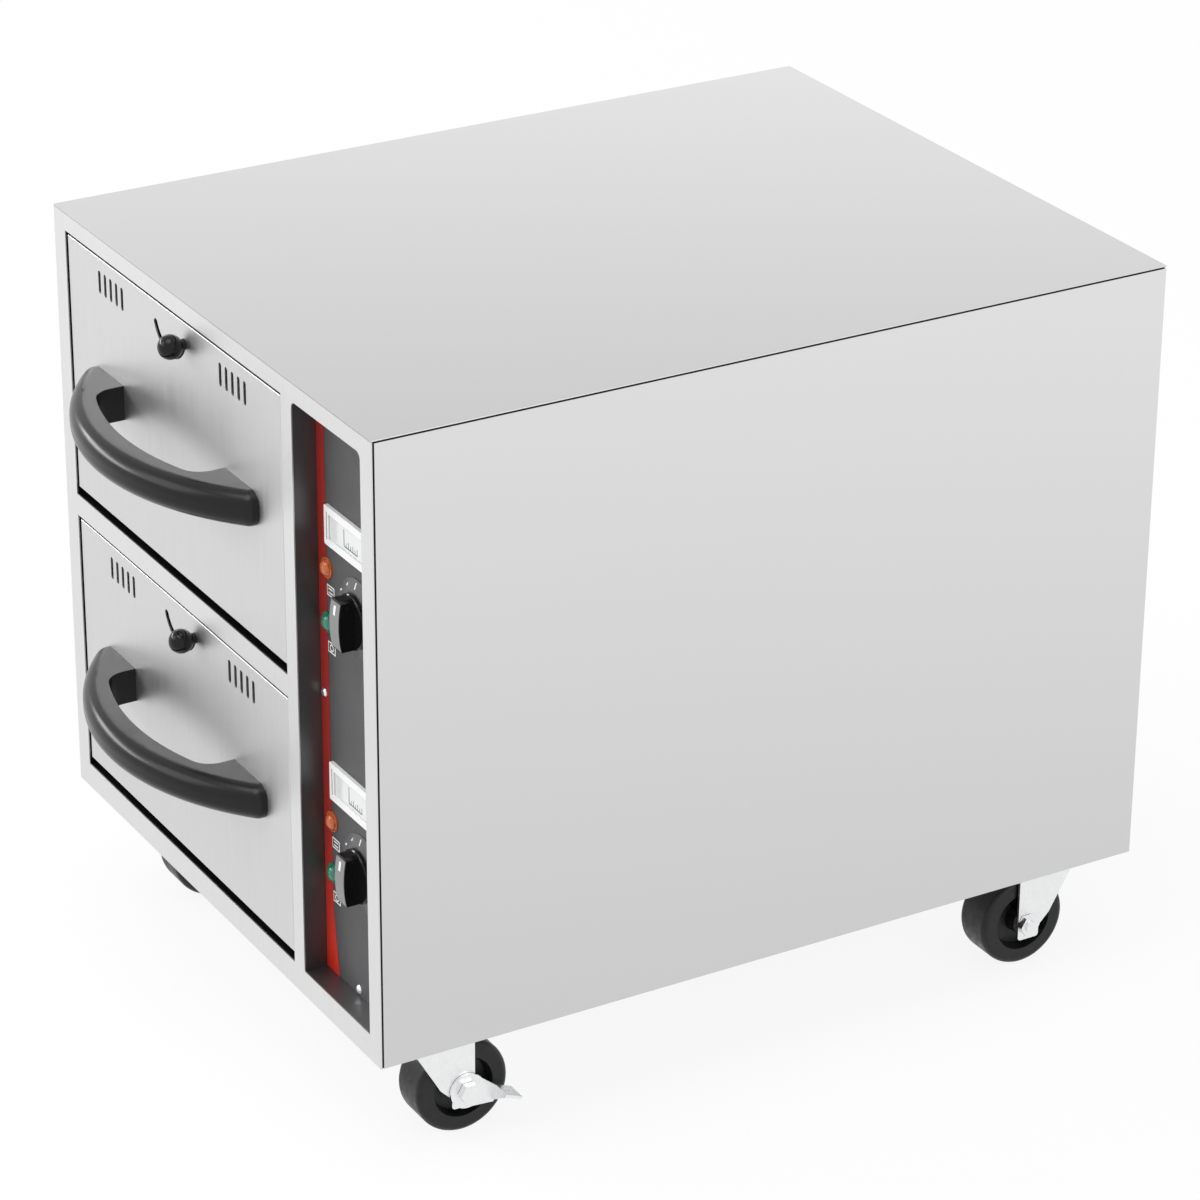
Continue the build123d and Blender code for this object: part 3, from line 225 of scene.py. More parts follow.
def place_along(finish, direction, low, high):
    """Runs from 0 to 1 along a direction of the object, between two distances from its origin."""
    along = finish.node_tree.nodes.new("ShaderNodeVectorMath")
    along.operation = "DOT_PRODUCT"
    along.inputs[1].default_value = direction
    share = finish.node_tree.nodes.new("ShaderNodeMapRange")
    share.inputs["From Min"].default_value = low
    share.inputs["From Max"].default_value = high
    finish.node_tree.links.new(object_place(finish, (1, 1, 1)), along.inputs[0])
    finish.node_tree.links.new(along.outputs["Value"], share.inputs["Value"])
    return share.outputs["Result"]


def blend_colour(finish, share, first, second):
    """The base colour goes from first to second; either is a colour or another node's output."""
    links = finish.node_tree.links
    mix = finish.node_tree.nodes.new("ShaderNodeMix")
    mix.data_type = "RGBA"
    links.new(share, mix.inputs[0])
    for socket, colour in ((mix.inputs[6], first), (mix.inputs[7], second)):
        if isinstance(colour, tuple):
            socket.default_value = (*colour, 1)
        else:
            links.new(colour, socket)
    links.new(mix.outputs[2], finish.node_tree.nodes["Principled BSDF"].inputs["Base Color"])
    return mix.outputs[2]


def make_satin_finish(name, slope, span, colours, outward, edge):
    """Satin stainless with painted light along a slope and painted shade behind its skin."""
    finish = new_finish(name, colours[0], 1.0, 0.36)
    skin = blend_colour(finish, place_along(finish, slope, *span), *colours)
    joint_shade_end = edge - skin_depth
    joint_shade = place_along(finish, outward, joint_shade_end, joint_shade_end + joint_shade_blend)
    blend_colour(finish, joint_shade, panel_joint_shade_colour, skin)
    vary(finish, "Roughness", noise_at(finish, (14, 3, 14)), 0.33, 0.39)
    dent(finish, noise_at(finish, (900, 6, 900)), 0.04, 0.0001)
    return finish


for side, sign in (("left", -1), ("right", 1)):
    low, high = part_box(side + "_side_panel")
    edge = max(abs(low.x), abs(high.x))
    dress([side + "_side_panel"],
          make_satin_finish(side + "_satin", side_painted_light_slope, side_painted_light_span,
                            (side_painted_shade_colour, side_painted_light_colour), (sign, 0, 0), edge))
dress(["top_panel"],
      make_satin_finish("top_satin", top_painted_light_slope, top_painted_light_span, (top_painted_shade_colour, top_painted_light_colour),
                        (0, 0, 1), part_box("top_panel")[1].z))


# ------------------------------------------------------------------ front frame
# One sheet of brushed stainless is cut out and folded round the two drawers and the control
# recess.  The brushing runs upright and is a little coarser than on the sides.  Painted shade
# darkens the walls of the recess, less towards the right, and blackens the joints behind the face.
frame_colour = (0.72, 0.72, 0.72)
# Painted shade: the recess walls are darkened, less on the right wall, and the joints are blackened.
recess_wall_shade_colour = (0.150, 0.150, 0.155)
recess_right_wall_shade_colour = (0.34, 0.34, 0.345)
frame_joint_shade_colour = (0.03, 0.03, 0.03)
frame_face_depth = 0.0009           # front of the frame to where its joints begin
frame_joint_shade_blend = 0.0003
recess_margin = 0.0004              # past the recess walls, inside their sheet
recess_left_gap = 0.0012            # control panel to the left wall
recess_right_gap = 0.0004           # control panel to the right wall


def make_brushed_finish(name, colour):
    """Upright brush lines in brightness, gloss and relief."""
    finish = new_finish(name, colour, 1.0, 0.42)
    lines = noise_at(finish, (900, 900, 14), 6.0)
    vary_colour(finish, lines, shade(colour, 0.975), shade(colour, 1.02))
    vary(finish, "Roughness", noise_at(finish, (500, 500, 10)), 0.40, 0.48)
    dent(finish, lines, 0.03, 0.0002)
    return finish


def base_colour_of(finish):
    """The output that feeds the base colour."""
    return finish.node_tree.nodes["Principled BSDF"].inputs["Base Color"].links[0].from_socket


def times(finish, first, second):
    """The product of two outputs."""
    product = finish.node_tree.nodes.new("ShaderNodeMath")
    product.operation = "MULTIPLY"
    finish.node_tree.links.new(first, product.inputs[0])
    finish.node_tree.links.new(second, product.inputs[1])
    return product.outputs["Value"]


def make_frame_finish():
    """Brushed in front; painted shade on the recess walls and in the joints behind the face."""
    finish = make_brushed_finish("frame_brushed", frame_colour)
    low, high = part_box("control_panel")
    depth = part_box("front_frame")[0].y + frame_face_depth
    behind = place_along(finish, (0, 1, 0), depth, depth + frame_joint_shade_blend)
    outside = blend_colour(finish, behind, base_colour_of(finish), frame_joint_shade_colour)
    recess_shade = blend_colour(finish, place_along(finish, (1, 0, 0), low.x, high.x), recess_wall_shade_colour,
                        recess_right_wall_shade_colour)
    left = low.x - recess_left_gap
    right = -high.x - recess_right_gap
    inside = times(finish, place_along(finish, (1, 0, 0), left - recess_margin, left),
                   place_along(finish, (-1, 0, 0), right - recess_margin, right))
    blend_colour(finish, times(finish, inside, behind), outside, recess_shade)
    return finish


dress(["front_frame"], make_frame_finish())


# ------------------------------------------------------------------ drawer fronts
# Each drawer front is a folded box of the same brushed sheet with an inner panel behind it.
# Where the panel and the sliding shutter show through the vent slots, they are painted shade.
drawer_colour = (0.65, 0.65, 0.65)
# Painted shade: the black seen through the vent slots.
vent_painted_shade = (0.004, 0.004, 0.004)
vent_shade_depth = 0.0003            # from the front of the inner panel
vent_shade_blend = 0.0002


def make_inner_panel_finish():
    """Mill stainless behind, painted shade on the side that shows through the vent slots."""
    finish = make_mill_finish("inner_panel_steel")
    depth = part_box("upper_inner_panel")[0].y + vent_shade_depth
    steel = place_along(finish, (0, 1, 0), depth, depth + vent_shade_blend)
    blend_colour(finish, steel, vent_painted_shade, base_colour_of(finish))
    return finish


def make_vent_shade_finish():
    """Vent shutters painted black as the shade seen through the vent slots."""
    finish = new_finish("vent_shade_steel", vent_painted_shade, 0.0, 0.6)
    finish.node_tree.nodes["Principled BSDF"].inputs["Specular IOR Level"].default_value = 0.1
    vary(finish, "Roughness", noise_at(finish, (200, 200, 200)), 0.52, 0.68)
    return finish


dress(["upper_drawer_front", "lower_drawer_front"],
      make_brushed_finish("drawer_brushed", drawer_colour))
dress(["upper_inner_panel", "lower_inner_panel"], make_inner_panel_finish())
dress(["upper_vent_shutter", "lower_vent_shutter"], make_vent_shade_finish())


# ------------------------------------------------------------------ telescopic slides
# Each drawer runs on a pair of rolled steel slides in three members, plated with plain zinc.
# The outer members are fixed in the cavity, the inner ones to the drawer.
slide_colour = (0.56, 0.57, 0.575)


def make_slide_finish():
    """Plated steel with drawn lines along its length."""
    finish = new_finish("slide_steel", slide_colour, 1.0, 0.32)
    drawn = noise_at(finish, (900, 5, 900))
    vary_colour(finish, drawn, shade(slide_colour, 0.88), shade(slide_colour, 1.1))
    vary(finish, "Roughness", drawn, 0.24, 0.42)
    return finish


rails = ["slide_outer_rails"]
for level in ("upper", "lower"):
    rails += [level + "_slide_middle_rails", level + "_slide_inner_rails"]
dress(rails, make_slide_finish())


# ------------------------------------------------------------------ food pans
# The lift-out pans are drawn from stainless sheet.  Drawing leaves a soft satin surface, and
# use leaves faint cloudy marks on it.
pan_colour = (0.68, 0.68, 0.675)


def make_pan_finish():
    """Drawn stainless with faint clouds."""
    finish = new_finish("pan_stainless", pan_colour, 1.0, 0.28)
    marks = noise_at(finish, (45, 45, 45), 6.0)
    vary_colour(finish, marks, shade(pan_colour, 0.95), shade(pan_colour, 1.03))
    vary(finish, "Roughness", noise_at(finish, (160, 160, 160), 8.0), 0.22, 0.38)
    return finish


dress(["upper_food_pan", "lower_food_pan"], make_pan_finish())


# ------------------------------------------------------------------ vent levers and their balls
# Behind each drawer front a small steel lever moves the vent shutter.  Its stem comes out
# through the curved slot and carries a moulded, polished black ball.
gloss_black_colour = (0.006, 0.006, 0.0065)


def make_gloss_black_finish():
    """Polished black moulding with a trace of fine scratches."""
    finish = new_finish("gloss_black", gloss_black_colour, 0.0, 0.16)
    finish.node_tree.nodes["Principled BSDF"].inputs["Specular IOR Level"].default_value = 0.25
    vary(finish, "Roughness", noise_at(finish, (260, 260, 260), 8.0), 0.10, 0.15)
    return finish


gloss_black = make_gloss_black_finish()
dress(["upper_vent_lever", "lower_vent_lever"], mill_stainless)
dress(["upper_vent_ball", "lower_vent_ball"], gloss_black)


# ------------------------------------------------------------------ bow handles
# Each handle is one satin black moulding, bowed in plan and strongly rounded outside, bolted
# through the drawer front with two studs.
handle_colour = (0.005, 0.005, 0.0053)


def make_handle_finish():
    """Satin black moulding with a faintly uneven gloss."""
    finish = new_finish("handle_black", handle_colour, 0.0, 0.26)
    finish.node_tree.nodes["Principled BSDF"].inputs["Specular IOR Level"].default_value = 0.3
    vary(finish, "Roughness", noise_at(finish, (600, 600, 600), 2.0), 0.23, 0.26)
    return finish


handle_black = make_handle_finish()
dress(["upper_handle", "lower_handle"], handle_black)


# ------------------------------------------------------------------ control panel and its trim strip
# The control panel is a sheet folded back at its edges and painted matte dark grey, held by
# four bright domed screws.  A red strip runs down its left edge and widens at the foot.
panel_colour = (0.062, 0.062, 0.065)
# Painted light: the foot of the strip is painted brighter than the red above it.
strip_colour = (0.33, 0.010, 0.004)
strip_foot_painted_light_colour = (0.62, 0.022, 0.006)
strip_foot_height = 0.02            # the bright colour reaches this far up
strip_foot_rise = 0.13              # the deep colour starts here
chrome_colour = (0.84, 0.845, 0.85)


def make_panel_finish():
    """Matte paint with a fine orange peel."""
    finish = new_finish("panel_grey", panel_colour, 0.0, 0.5)
    peel = noise_at(finish, (500, 500, 500), 2.0)
    vary_colour(finish, noise_at(finish, (30, 30, 30)), shade(panel_colour, 0.92),
                shade(panel_colour, 1.08))
    vary(finish, "Roughness", noise_at(finish, (60, 60, 60)), 0.44, 0.56)
    dent(finish, peel, 0.10, 0.0002)
    return finish


def make_strip_finish():
    """Red paint, deep along the strip, with painted light brightening its foot."""
    finish = new_finish("trim_red", strip_colour, 0.0, 0.42)
    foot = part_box("trim_stripe")[0].z
    rise = place_along(finish, (0, 0, 1), foot + strip_foot_height, foot + strip_foot_rise)
    blend_colour(finish, rise, strip_foot_painted_light_colour, strip_colour)
    vary(finish, "Roughness", noise_at(finish, (80, 80, 80)), 0.36, 0.48)
    return finish


def make_chrome_finish():
    """Bright zinc with small stains."""
    finish = new_finish("bright_zinc", chrome_colour, 1.0, 0.3)
    stains = noise_at(finish, (140, 140, 140), 6.0)
    vary_colour(finish, stains, shade(chrome_colour, 0.985), shade(chrome_colour, 1.03))
    vary(finish, "Roughness", noise_at(finish, (300, 300, 300)), 0.24, 0.38)
    return finish


panel_grey = make_panel_finish()
bright_zinc = make_chrome_finish()
dress(["control_panel"], panel_grey)
dress(["trim_stripe"], make_strip_finish())
dress(["panel_screws"], bright_zinc)


# ------------------------------------------------------------------ thermometers
# A thermometer in a white moulded bezel sits above each knob.  Its window is sunk in the bezel
# over a pale plate.  An angled scale with plain ticks is printed on it, and a hatch beside it.
bezel_colour = (0.86, 0.86, 0.86)
pane_colour = (0.74, 0.75, 0.75)
dark_print_colour = (0.05, 0.05, 0.052)
print_thickness = 0.00006
hatch_bars = 14
hatch_pitch = 0.0016
hatch_share = 0.7               # height of a bar in its pitch
hatch_width = 0.0012
hatch_inset = 0.0042            # left edge of the bezel to the hatch
scale_inset = 0.030             # left edge of the bezel to the scale's corner
scale_length = 0.021
scale_height = 0.0135
scale_line = 0.0009
scale_ticks = 6
scale_tick_height = 0.0034
scale_tick_share = 0.7          # width of a tick against the lines
scale_long_tick = 1.5           # every second tick is longer by this factor
zone_lift = 0.060               # thermometer above the axis of its knob


def make_bezel_finish():
    """White moulding."""
    finish = new_finish("white_bezel", bezel_colour, 0.0, 0.35)
    vary(finish, "Roughness", noise_at(finish, (200, 200, 200)), 0.28, 0.42)
    return finish


def make_pane_finish():
    """Clear pane laid on a white plate: pale, with a gloss on top."""
    finish = new_finish("clear_window", pane_colour, 0.0, 0.12)
    finish.node_tree.nodes["Principled BSDF"].inputs["Coat Weight"].default_value = 0.5
    vary(finish, "Roughness", noise_at(finish, (90, 90, 90)), 0.08, 0.16)
    return finish


def start_piece(name):
    """An empty mesh at the origin, open in edit mode."""
    bpy.ops.object.select_all(action="DESELECT")
    bpy.ops.mesh.primitive_plane_add(size=1, location=(0, 0, 0))
    piece = bpy.context.object
    piece.name = name
    piece.data.name = name
    bpy.ops.object.mode_set(mode="EDIT")
    bpy.ops.mesh.select_all(action="SELECT")
    bpy.ops.mesh.delete(type="VERT")
    return piece


def add_bar(place, width, height, turn=0.0):
    """In edit mode: a flat upright bar that faces the front, turned about its middle."""
    bpy.ops.mesh.select_all(action="DESELECT")
    bpy.ops.mesh.primitive_plane_add(size=1, location=place, rotation=(math.pi / 2, 0, 0))
    bpy.ops.transform.resize(value=(width, 1, height), center_override=place)
    if turn:
        bpy.ops.transform.rotate(value=turn, orient_axis="Y", center_override=place)


def finish_print(piece, finish, body):
    """In edit mode: gives the flat bars the thickness of print and hands the piece over."""
    bpy.ops.mesh.select_all(action="SELECT")
    bpy.ops.mesh.extrude_region_move(TRANSFORM_OT_translate={"value": (0, -print_thickness, 0)})
    finish_piece(piece, finish, body)


def finish_piece(piece, finish, body):
    """In edit mode: closes the mesh, gives it its finish and lets it ride on its body."""
    bpy.ops.mesh.select_all(action="SELECT")
    bpy.ops.mesh.remove_doubles(threshold=1e-6)
    bpy.ops.mesh.normals_make_consistent(inside=False)
    bpy.ops.object.mode_set(mode="OBJECT")
    piece.data.materials.clear()
    piece.data.materials.append(finish)
    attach(piece, body)


def make_print_finish(name, colour):
    """Screen print with a slightly uneven cover."""
    finish = new_finish(name, colour, 0.0, 0.5)
    cover = noise_at(finish, (900, 900, 900))
    vary_colour(finish, cover, shade(colour, 0.92), shade(colour, 1.04))
    vary(finish, "Roughness", cover, 0.42, 0.6)
    return finish


def make_scale(zone, middle):
    """The hatch at the left and an angled scale with plain ticks, on one thermometer."""
    scale = start_piece(zone + "_scale")
    bezel_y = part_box("thermometers")[0].y
    pane_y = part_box("thermometer_windows")[0].y
    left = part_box("thermometers")[0].x
    for i in range(hatch_bars):
        rise = (i - (hatch_bars - 1) / 2) * hatch_pitch
        add_bar((left + hatch_inset, bezel_y, middle + rise), hatch_width, hatch_pitch * hatch_share)
    corner_x = left + scale_inset
    foot_z = middle - scale_height / 2
    add_bar((corner_x, pane_y, middle), scale_line, scale_height)
    add_bar((corner_x + scale_length / 2, pane_y, foot_z), scale_length, scale_line)
    for i in range(1, scale_ticks + 1):
        tick = scale_tick_height * (scale_long_tick if i % 2 == 0 else 1.0)
        x = corner_x + scale_length * i / scale_ticks
        add_bar((x, pane_y, foot_z + tick / 2), scale_line * scale_tick_share, tick)
    finish_print(scale, dark_print, "cabinet")


dress(["thermometers"], make_bezel_finish())
dress(["thermometer_windows"], make_pane_finish())
dark_print = make_print_finish("dark_print", dark_print_colour)
knob_heights = {zone: (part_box(zone + "_knob")[0].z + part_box(zone + "_knob")[1].z) / 2
                for zone in ("upper", "lower")}
for zone, knob_z in knob_heights.items():
    make_scale(zone, knob_z + zone_lift)


# ------------------------------------------------------------------ indicator lamps
# Beside each knob an amber lamp shows that the heat is on, and a green one below it that the
# supply is on.  Both are translucent mouldings with a domed lens.
amber_colour = (0.85, 0.17, 0.02)
green_colour = (0.01, 0.30, 0.17)


def make_lens_finish(name, colour):
    """Translucent coloured moulding with a bright skin."""
    finish = new_finish(name, colour, 0.0, 0.12)
    shader = finish.node_tree.nodes["Principled BSDF"]
    shader.inputs["Coat Weight"].default_value = 0.6
    shader.inputs["Transmission Weight"].default_value = 0.25
    depth = noise_at(finish, (220, 220, 220))
    vary_colour(finish, depth, shade(colour, 0.6), shade(colour, 1.1))
    vary(finish, "Roughness", depth, 0.08, 0.18)
    return finish


dress(["amber_lamps"], make_lens_finish("amber_lens", amber_colour))
dress(["green_lamps"], make_lens_finish("green_lens", green_colour))


# ------------------------------------------------------------------ dials and knobs
# Round each knob lies a fixed dial, a bevelled ring in the panel's grey with white ticks.  The
# knob is a glossy black moulding: a disc with a bar grip, pushed on the thermostat's shaft.  A
# grey inlay with a white index lies on the grip.  Outlined fields are printed beside the lamps.
dial_colour = (0.095, 0.095, 0.098)
inlay_colour = (0.20, 0.20, 0.205)
white_print_colour = (0.88, 0.88, 0.88)
grip_bow_radius = 0.0994        # bow of the grip's front
inlay_width = 0.0142
inlay_thickness = 0.0003
inlay_end = math.radians(11)    # half the bow of the grip's front
inlay_steps = 16
index_width = 0.0030
index_thickness = 0.0005
index_start = math.radians(5.0)
index_end = math.radians(9.4)
dial_ticks = 11
dial_sweep = math.radians(270)
dial_mark_radius = 0.028
dial_mark_depth = 0.00155       # behind the flat top of the dial
dial_tick_width = 0.0014
dial_tick_length = 0.0052
dial_short_tick_length = 0.0026
bevel_slope = math.radians(19.6)
icon_x = 0.1670
icon_width = 0.0122
icon_height = 0.0090
icon_line = 0.0011
icon_bar_offset = 0.0016
icon_bar_width = 0.00671
icon_ring = 0.0030
icon_upper_rise = 0.0045
icon_lower_rise = -0.0427


def make_dial_finish():
    """Grey moulding, a little glossier than the panel."""
    finish = new_finish("dial_grey", dial_colour, 0.0, 0.36)
    vary(finish, "Roughness", noise_at(finish, (300, 300, 300)), 0.30, 0.42)
    return finish


def make_inlay_finish():
    """Satin grey inlay."""
    finish = new_finish("knob_inlay", inlay_colour, 0.0, 0.35)
    vary(finish, "Roughness", noise_at(finish, (400, 400, 400)), 0.30, 0.42)
    return finish


def make_bowed_strip(name, zone, width, thickness, lowest, highest, finish):
    """A thin strip on the bowed front of one grip, between two angles of its bow."""
    low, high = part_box(zone + "_knob")
    knob_x = (low.x + high.x) / 2
    knob_z = knob_heights[zone]
    strip = start_piece(name)
    centre = (knob_x, low.y + grip_bow_radius, knob_z)
    start = (knob_x, low.y - thickness / 2, knob_z)
    bpy.ops.mesh.primitive_plane_add(size=1, location=start)
    bpy.ops.transform.resize(value=(width, thickness, 1), center_override=start)
    bpy.ops.transform.rotate(value=lowest, orient_axis="X", center_override=centre)
    bpy.ops.mesh.spin(steps=inlay_steps, angle=highest - lowest, center=centre, axis=(1, 0, 0))
    finish_piece(strip, finish, zone + "_knob")


def make_dial_marks(zone, knob_z):
    """White ticks on the bevel of one dial; those at both ends and in the middle are longer."""
    marks = start_piece(zone + "_dial_marks")
    low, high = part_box(zone + "_knob")
    knob_x = (low.x + high.x) / 2
    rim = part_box("dial_rings")[0].y
    for i in range(dial_ticks):
        turn = -dial_sweep / 2 + dial_sweep * i / (dial_ticks - 1)
        long_tick = i in (0, (dial_ticks - 1) // 2, dial_ticks - 1)
        length = dial_tick_length if long_tick else dial_short_tick_length
        place = (knob_x + dial_mark_radius * math.sin(turn), rim + dial_mark_depth,
                 knob_z + dial_mark_radius * math.cos(turn))
        add_bar(place, dial_tick_width, length)
        bpy.ops.transform.rotate(value=bevel_slope, orient_axis="X", center_override=place)
        bpy.ops.transform.rotate(value=turn, orient_axis="Y", center_override=place)
    finish_print(marks, white_print, "cabinet")


def make_icons(zone, knob_z):
    """The outlined fields beside the lamps of one zone, with a plain mark in each."""
    icons = start_piece(zone + "_icons")
    panel_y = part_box("control_panel")[0].y
    for rise in (icon_upper_rise, icon_lower_rise):
        centre = (icon_x, panel_y, knob_z + rise)
        add_bar(centre, icon_width, icon_height)
        bpy.ops.mesh.inset(thickness=icon_line)
        bpy.ops.mesh.delete(type="FACE")
        if rise == icon_upper_rise:
            for offset in (-icon_bar_offset, icon_bar_offset):
                add_bar((icon_x, panel_y, centre[2] + offset), icon_bar_width, icon_line)
        else:
            bpy.ops.mesh.select_all(action="DESELECT")
            bpy.ops.mesh.primitive_circle_add(vertices=20, radius=icon_ring, fill_type="NGON",
                                              location=centre, rotation=(math.pi / 2, 0, 0))
            bpy.ops.mesh.inset(thickness=icon_line)
            bpy.ops.mesh.delete(type="FACE")
    finish_print(icons, white_print, "cabinet")


dress(["dial_rings"], make_dial_finish())
dress(["upper_knob", "lower_knob"], gloss_black)
knob_inlay = make_inlay_finish()
white_print = make_print_finish("white_print", white_print_colour)
for zone, knob_z in knob_heights.items():
    make_bowed_strip(zone + "_knob_inlay", zone, inlay_width, inlay_thickness, -inlay_end, inlay_end,
                     knob_inlay)
    make_bowed_strip(zone + "_knob_index", zone, index_width, index_thickness, index_start, index_end,
                     white_print)
    make_dial_marks(zone, knob_z)
    make_icons(zone, knob_z)


# ------------------------------------------------------------------ thermostats and cord gland
# Behind the panel each knob turns a thermostat in a moulded case.  A black gland at the back
# takes the supply cord.
case_colour = (0.36, 0.29, 0.20)


def make_case_finish():
    """Brown moulded switch case."""
    finish = new_finish("switch_case", case_colour, 0.0, 0.5)
    vary_colour(finish, noise_at(finish, (90, 90, 90)), shade(case_colour, 0.85),
                shade(case_colour, 1.1))
    vary(finish, "Roughness", noise_at(finish, (300, 300, 300)), 0.42, 0.6)
    return finish


dress(["thermostats"], make_case_finish())
dress(["cord_gland"], handle_black)


# ------------------------------------------------------------------ casters
# Four swivel casters are bolted under the base.  Fork, plate, bolts and brake are pressed steel
# in bright zinc, and the wheels are black mouldings with a trace of dust.
tread_colour = (0.006, 0.006, 0.0063)


def make_wheel_finish():
    """Black moulding with a trace of dust."""
    finish = new_finish("wheel_black", tread_colour, 0.0, 0.4)
    finish.node_tree.nodes["Principled BSDF"].inputs["Specular IOR Level"].default_value = 0.35
    dust = noise_at(finish, (120, 120, 120), 8.0)
    vary_colour(finish, dust, shade(tread_colour, 0.8), shade(tread_colour, 1.8))
    vary(finish, "Roughness", noise_at(finish, (200, 200, 200)), 0.30, 0.52)
    return finish


wheel_black = make_wheel_finish()
corners = ["front_left", "front_right", "rear_left", "rear_right"]
dress(["caster_plates", "caster_bolts"], bright_zinc)
for corner in corners:
    dress([corner + "_fork", corner + "_axle"], bright_zinc)
    dress([corner + "_wheel"], wheel_black)
dress(["front_left_brake", "front_right_brake"], bright_zinc)


# ------------------------------------------------------------------ floor and surroundings
# A plain pale floor under a white studio.  Seen directly or in the steel it is white; it keeps
# the soft shadow of the cabinet.
floor_size = 30.0
floor_colour = (0.93, 0.93, 0.93)
direct_white = 0.88             # share of plain white in what the camera sees of the floor
surround_light = 0.55           # light of the surroundings on matt surfaces


def make_floor_finish():
    """Matt pale floor, mixed with plain white for rays from the camera and from gloss."""
    finish = new_finish("studio_floor", floor_colour, 0.0, 0.9)
    nodes = finish.node_tree.nodes
    links = finish.node_tree.links
    white = nodes.new("ShaderNodeEmission")
    white.inputs["Color"].default_value = (1, 1, 1, 1)
    rays = nodes.new("ShaderNodeLightPath")
    seen = nodes.new("ShaderNodeMath")
    seen.operation = "MAXIMUM"
    share = nodes.new("ShaderNodeMath")
    share.operation = "MULTIPLY"
    share.inputs[1].default_value = direct_white
    mix = nodes.new("ShaderNodeMixShader")
    links.new(rays.outputs["Is Camera Ray"], seen.inputs[0])
    links.new(rays.outputs["Is Glossy Ray"], seen.inputs[1])
    links.new(seen.outputs["Value"], share.inputs[0])
    links.new(share.outputs["Value"], mix.inputs["Fac"])
    links.new(nodes["Principled BSDF"].outputs["BSDF"], mix.inputs[1])
    links.new(white.outputs["Emission"], mix.inputs[2])
    links.new(mix.outputs["Shader"], nodes["Material Output"].inputs["Surface"])
    return finish


def make_world():
    """White where the camera or gloss looks out, and a softer light on everything else."""
    world = bpy.data.worlds.new("studio_world")
    bpy.context.scene.world = world
    world.use_nodes = True
    nodes = world.node_tree.nodes
    links = world.node_tree.links
    ground = nodes["Background"]
    ground.inputs["Color"].default_value = (1, 1, 1, 1)
    ground.inputs["Strength"].default_value = surround_light
    white = nodes.new("ShaderNodeBackground")
    white.inputs["Color"].default_value = (1, 1, 1, 1)
    white.inputs["Strength"].default_value = 1.0
    rays = nodes.new("ShaderNodeLightPath")
    straight = nodes.new("ShaderNodeMath")
    straight.operation = "MAXIMUM"
    seen = nodes.new("ShaderNodeMath")
    seen.operation = "MAXIMUM"
    mix = nodes.new("ShaderNodeMixShader")
    links.new(rays.outputs["Is Camera Ray"], straight.inputs[0])
    links.new(rays.outputs["Is Glossy Ray"], straight.inputs[1])
    links.new(straight.outputs["Value"], seen.inputs[0])
    links.new(rays.outputs["Is Transmission Ray"], seen.inputs[1])
    links.new(seen.outputs["Value"], mix.inputs["Fac"])
    links.new(ground.outputs["Background"], mix.inputs[1])
    links.new(white.outputs["Background"], mix.inputs[2])
    links.new(mix.outputs["Shader"], nodes["World Output"].inputs["Surface"])


bpy.ops.object.select_all(action="DESELECT")
bpy.ops.mesh.primitive_plane_add(size=floor_size, location=(0, 0, 0))
floor = bpy.context.object
floor.name = "studio_floor"
floor.data.materials.append(make_floor_finish())
make_world()


# ------------------------------------------------------------------ lights
# Soft lamps in front on the left and at the right side light the steel, a long low lamp on
# the left draws the highlight along the handles, and a wide sun keeps the floor even.
sun_strength = 1.0
sun_spread = math.radians(40)
sun_place = (0.6, -1.2, 4.0)
lamp_target = (0, 0, 0.35)          # middle of the cabinet


def aim(thing, target):
    """Turns a lamp to look at a point."""
    thing.rotation_mode = "QUATERNION"
    thing.rotation_quaternion = (Vector(target) - thing.location).to_track_quat("-Z", "Y")


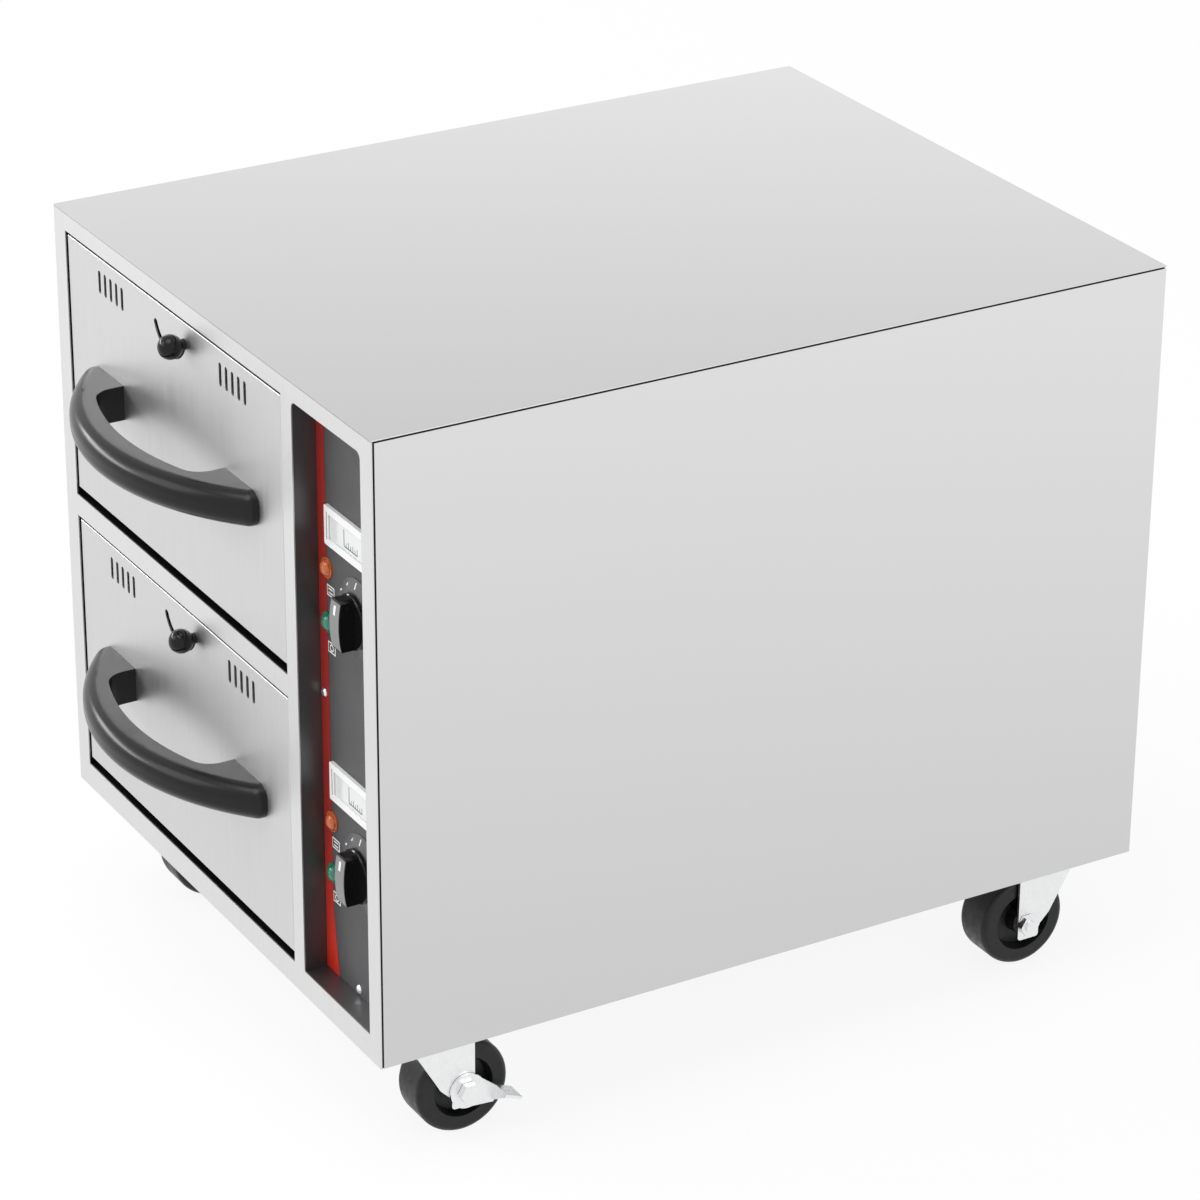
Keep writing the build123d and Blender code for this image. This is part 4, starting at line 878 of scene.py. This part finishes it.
def add_soft_lamp(name, place, width, height, power):
    """A flat studio lamp aimed at the cabinet; its size is in metres and its power in watts."""
    lamp = bpy.data.lights.new(name, "AREA")
    lamp.shape = "RECTANGLE"
    lamp.size = width
    lamp.size_y = height
    lamp.energy = power
    stand = bpy.data.objects.new(name, lamp)
    bpy.context.scene.collection.objects.link(stand)
    stand.location = place
    aim(stand, lamp_target)


sun = bpy.data.lights.new("overhead_sun", "SUN")
sun.energy = sun_strength
sun.angle = sun_spread
sun_stand = bpy.data.objects.new("overhead_sun", sun)
bpy.context.scene.collection.objects.link(sun_stand)
sun_stand.location = sun_place
aim(sun_stand, (0, 0, 0))
add_soft_lamp("bow_lamp", place=(-2.8, -2.1, 1.5), width=2.4, height=0.5, power=45)
add_soft_lamp("front_lamp", place=(-1.2, -3.2, 2.2), width=2.0, height=2.0, power=25)
add_soft_lamp("side_lamp", place=(3.6, 0.8, 1.8), width=2.0, height=2.0, power=20)


# ------------------------------------------------------------------ camera
# A long lens from the front right and above, turned a little about its own axis, as in the
# photograph.
camera_azimuth = math.radians(59.6025)
camera_elevation = math.radians(25.4910)
camera_roll = math.radians(0.4033)
camera_place = Vector((2.91503, -1.68557, 1.91388))
camera_lens = 136.57
camera_sensor = 36.0


def make_camera():
    """The photograph's camera."""
    data = bpy.data.cameras.new("photo_camera")
    data.lens = camera_lens
    data.sensor_width = camera_sensor
    data.clip_start = 0.1
    data.clip_end = 100.0
    stand = bpy.data.objects.new("photo_camera", data)
    bpy.context.scene.collection.objects.link(stand)
    level = math.cos(camera_elevation)
    back = Vector((math.sin(camera_azimuth) * level, -math.cos(camera_azimuth) * level,
                   math.sin(camera_elevation)))
    right = Vector((math.cos(camera_azimuth), math.sin(camera_azimuth), 0))
    up = back.cross(right)
    turned_right = right * math.cos(camera_roll) + up * math.sin(camera_roll)
    turned_up = up * math.cos(camera_roll) - right * math.sin(camera_roll)
    turn = [[turned_right[i], turned_up[i], back[i]] for i in range(3)]
    place = [row + [camera_place[i]] for i, row in enumerate(turn)]
    place.append([0, 0, 0, 1])
    stand.matrix_world = Matrix(place)
    bpy.context.scene.camera = stand


make_camera()
bpy.context.scene.view_settings.view_transform = "Standard"
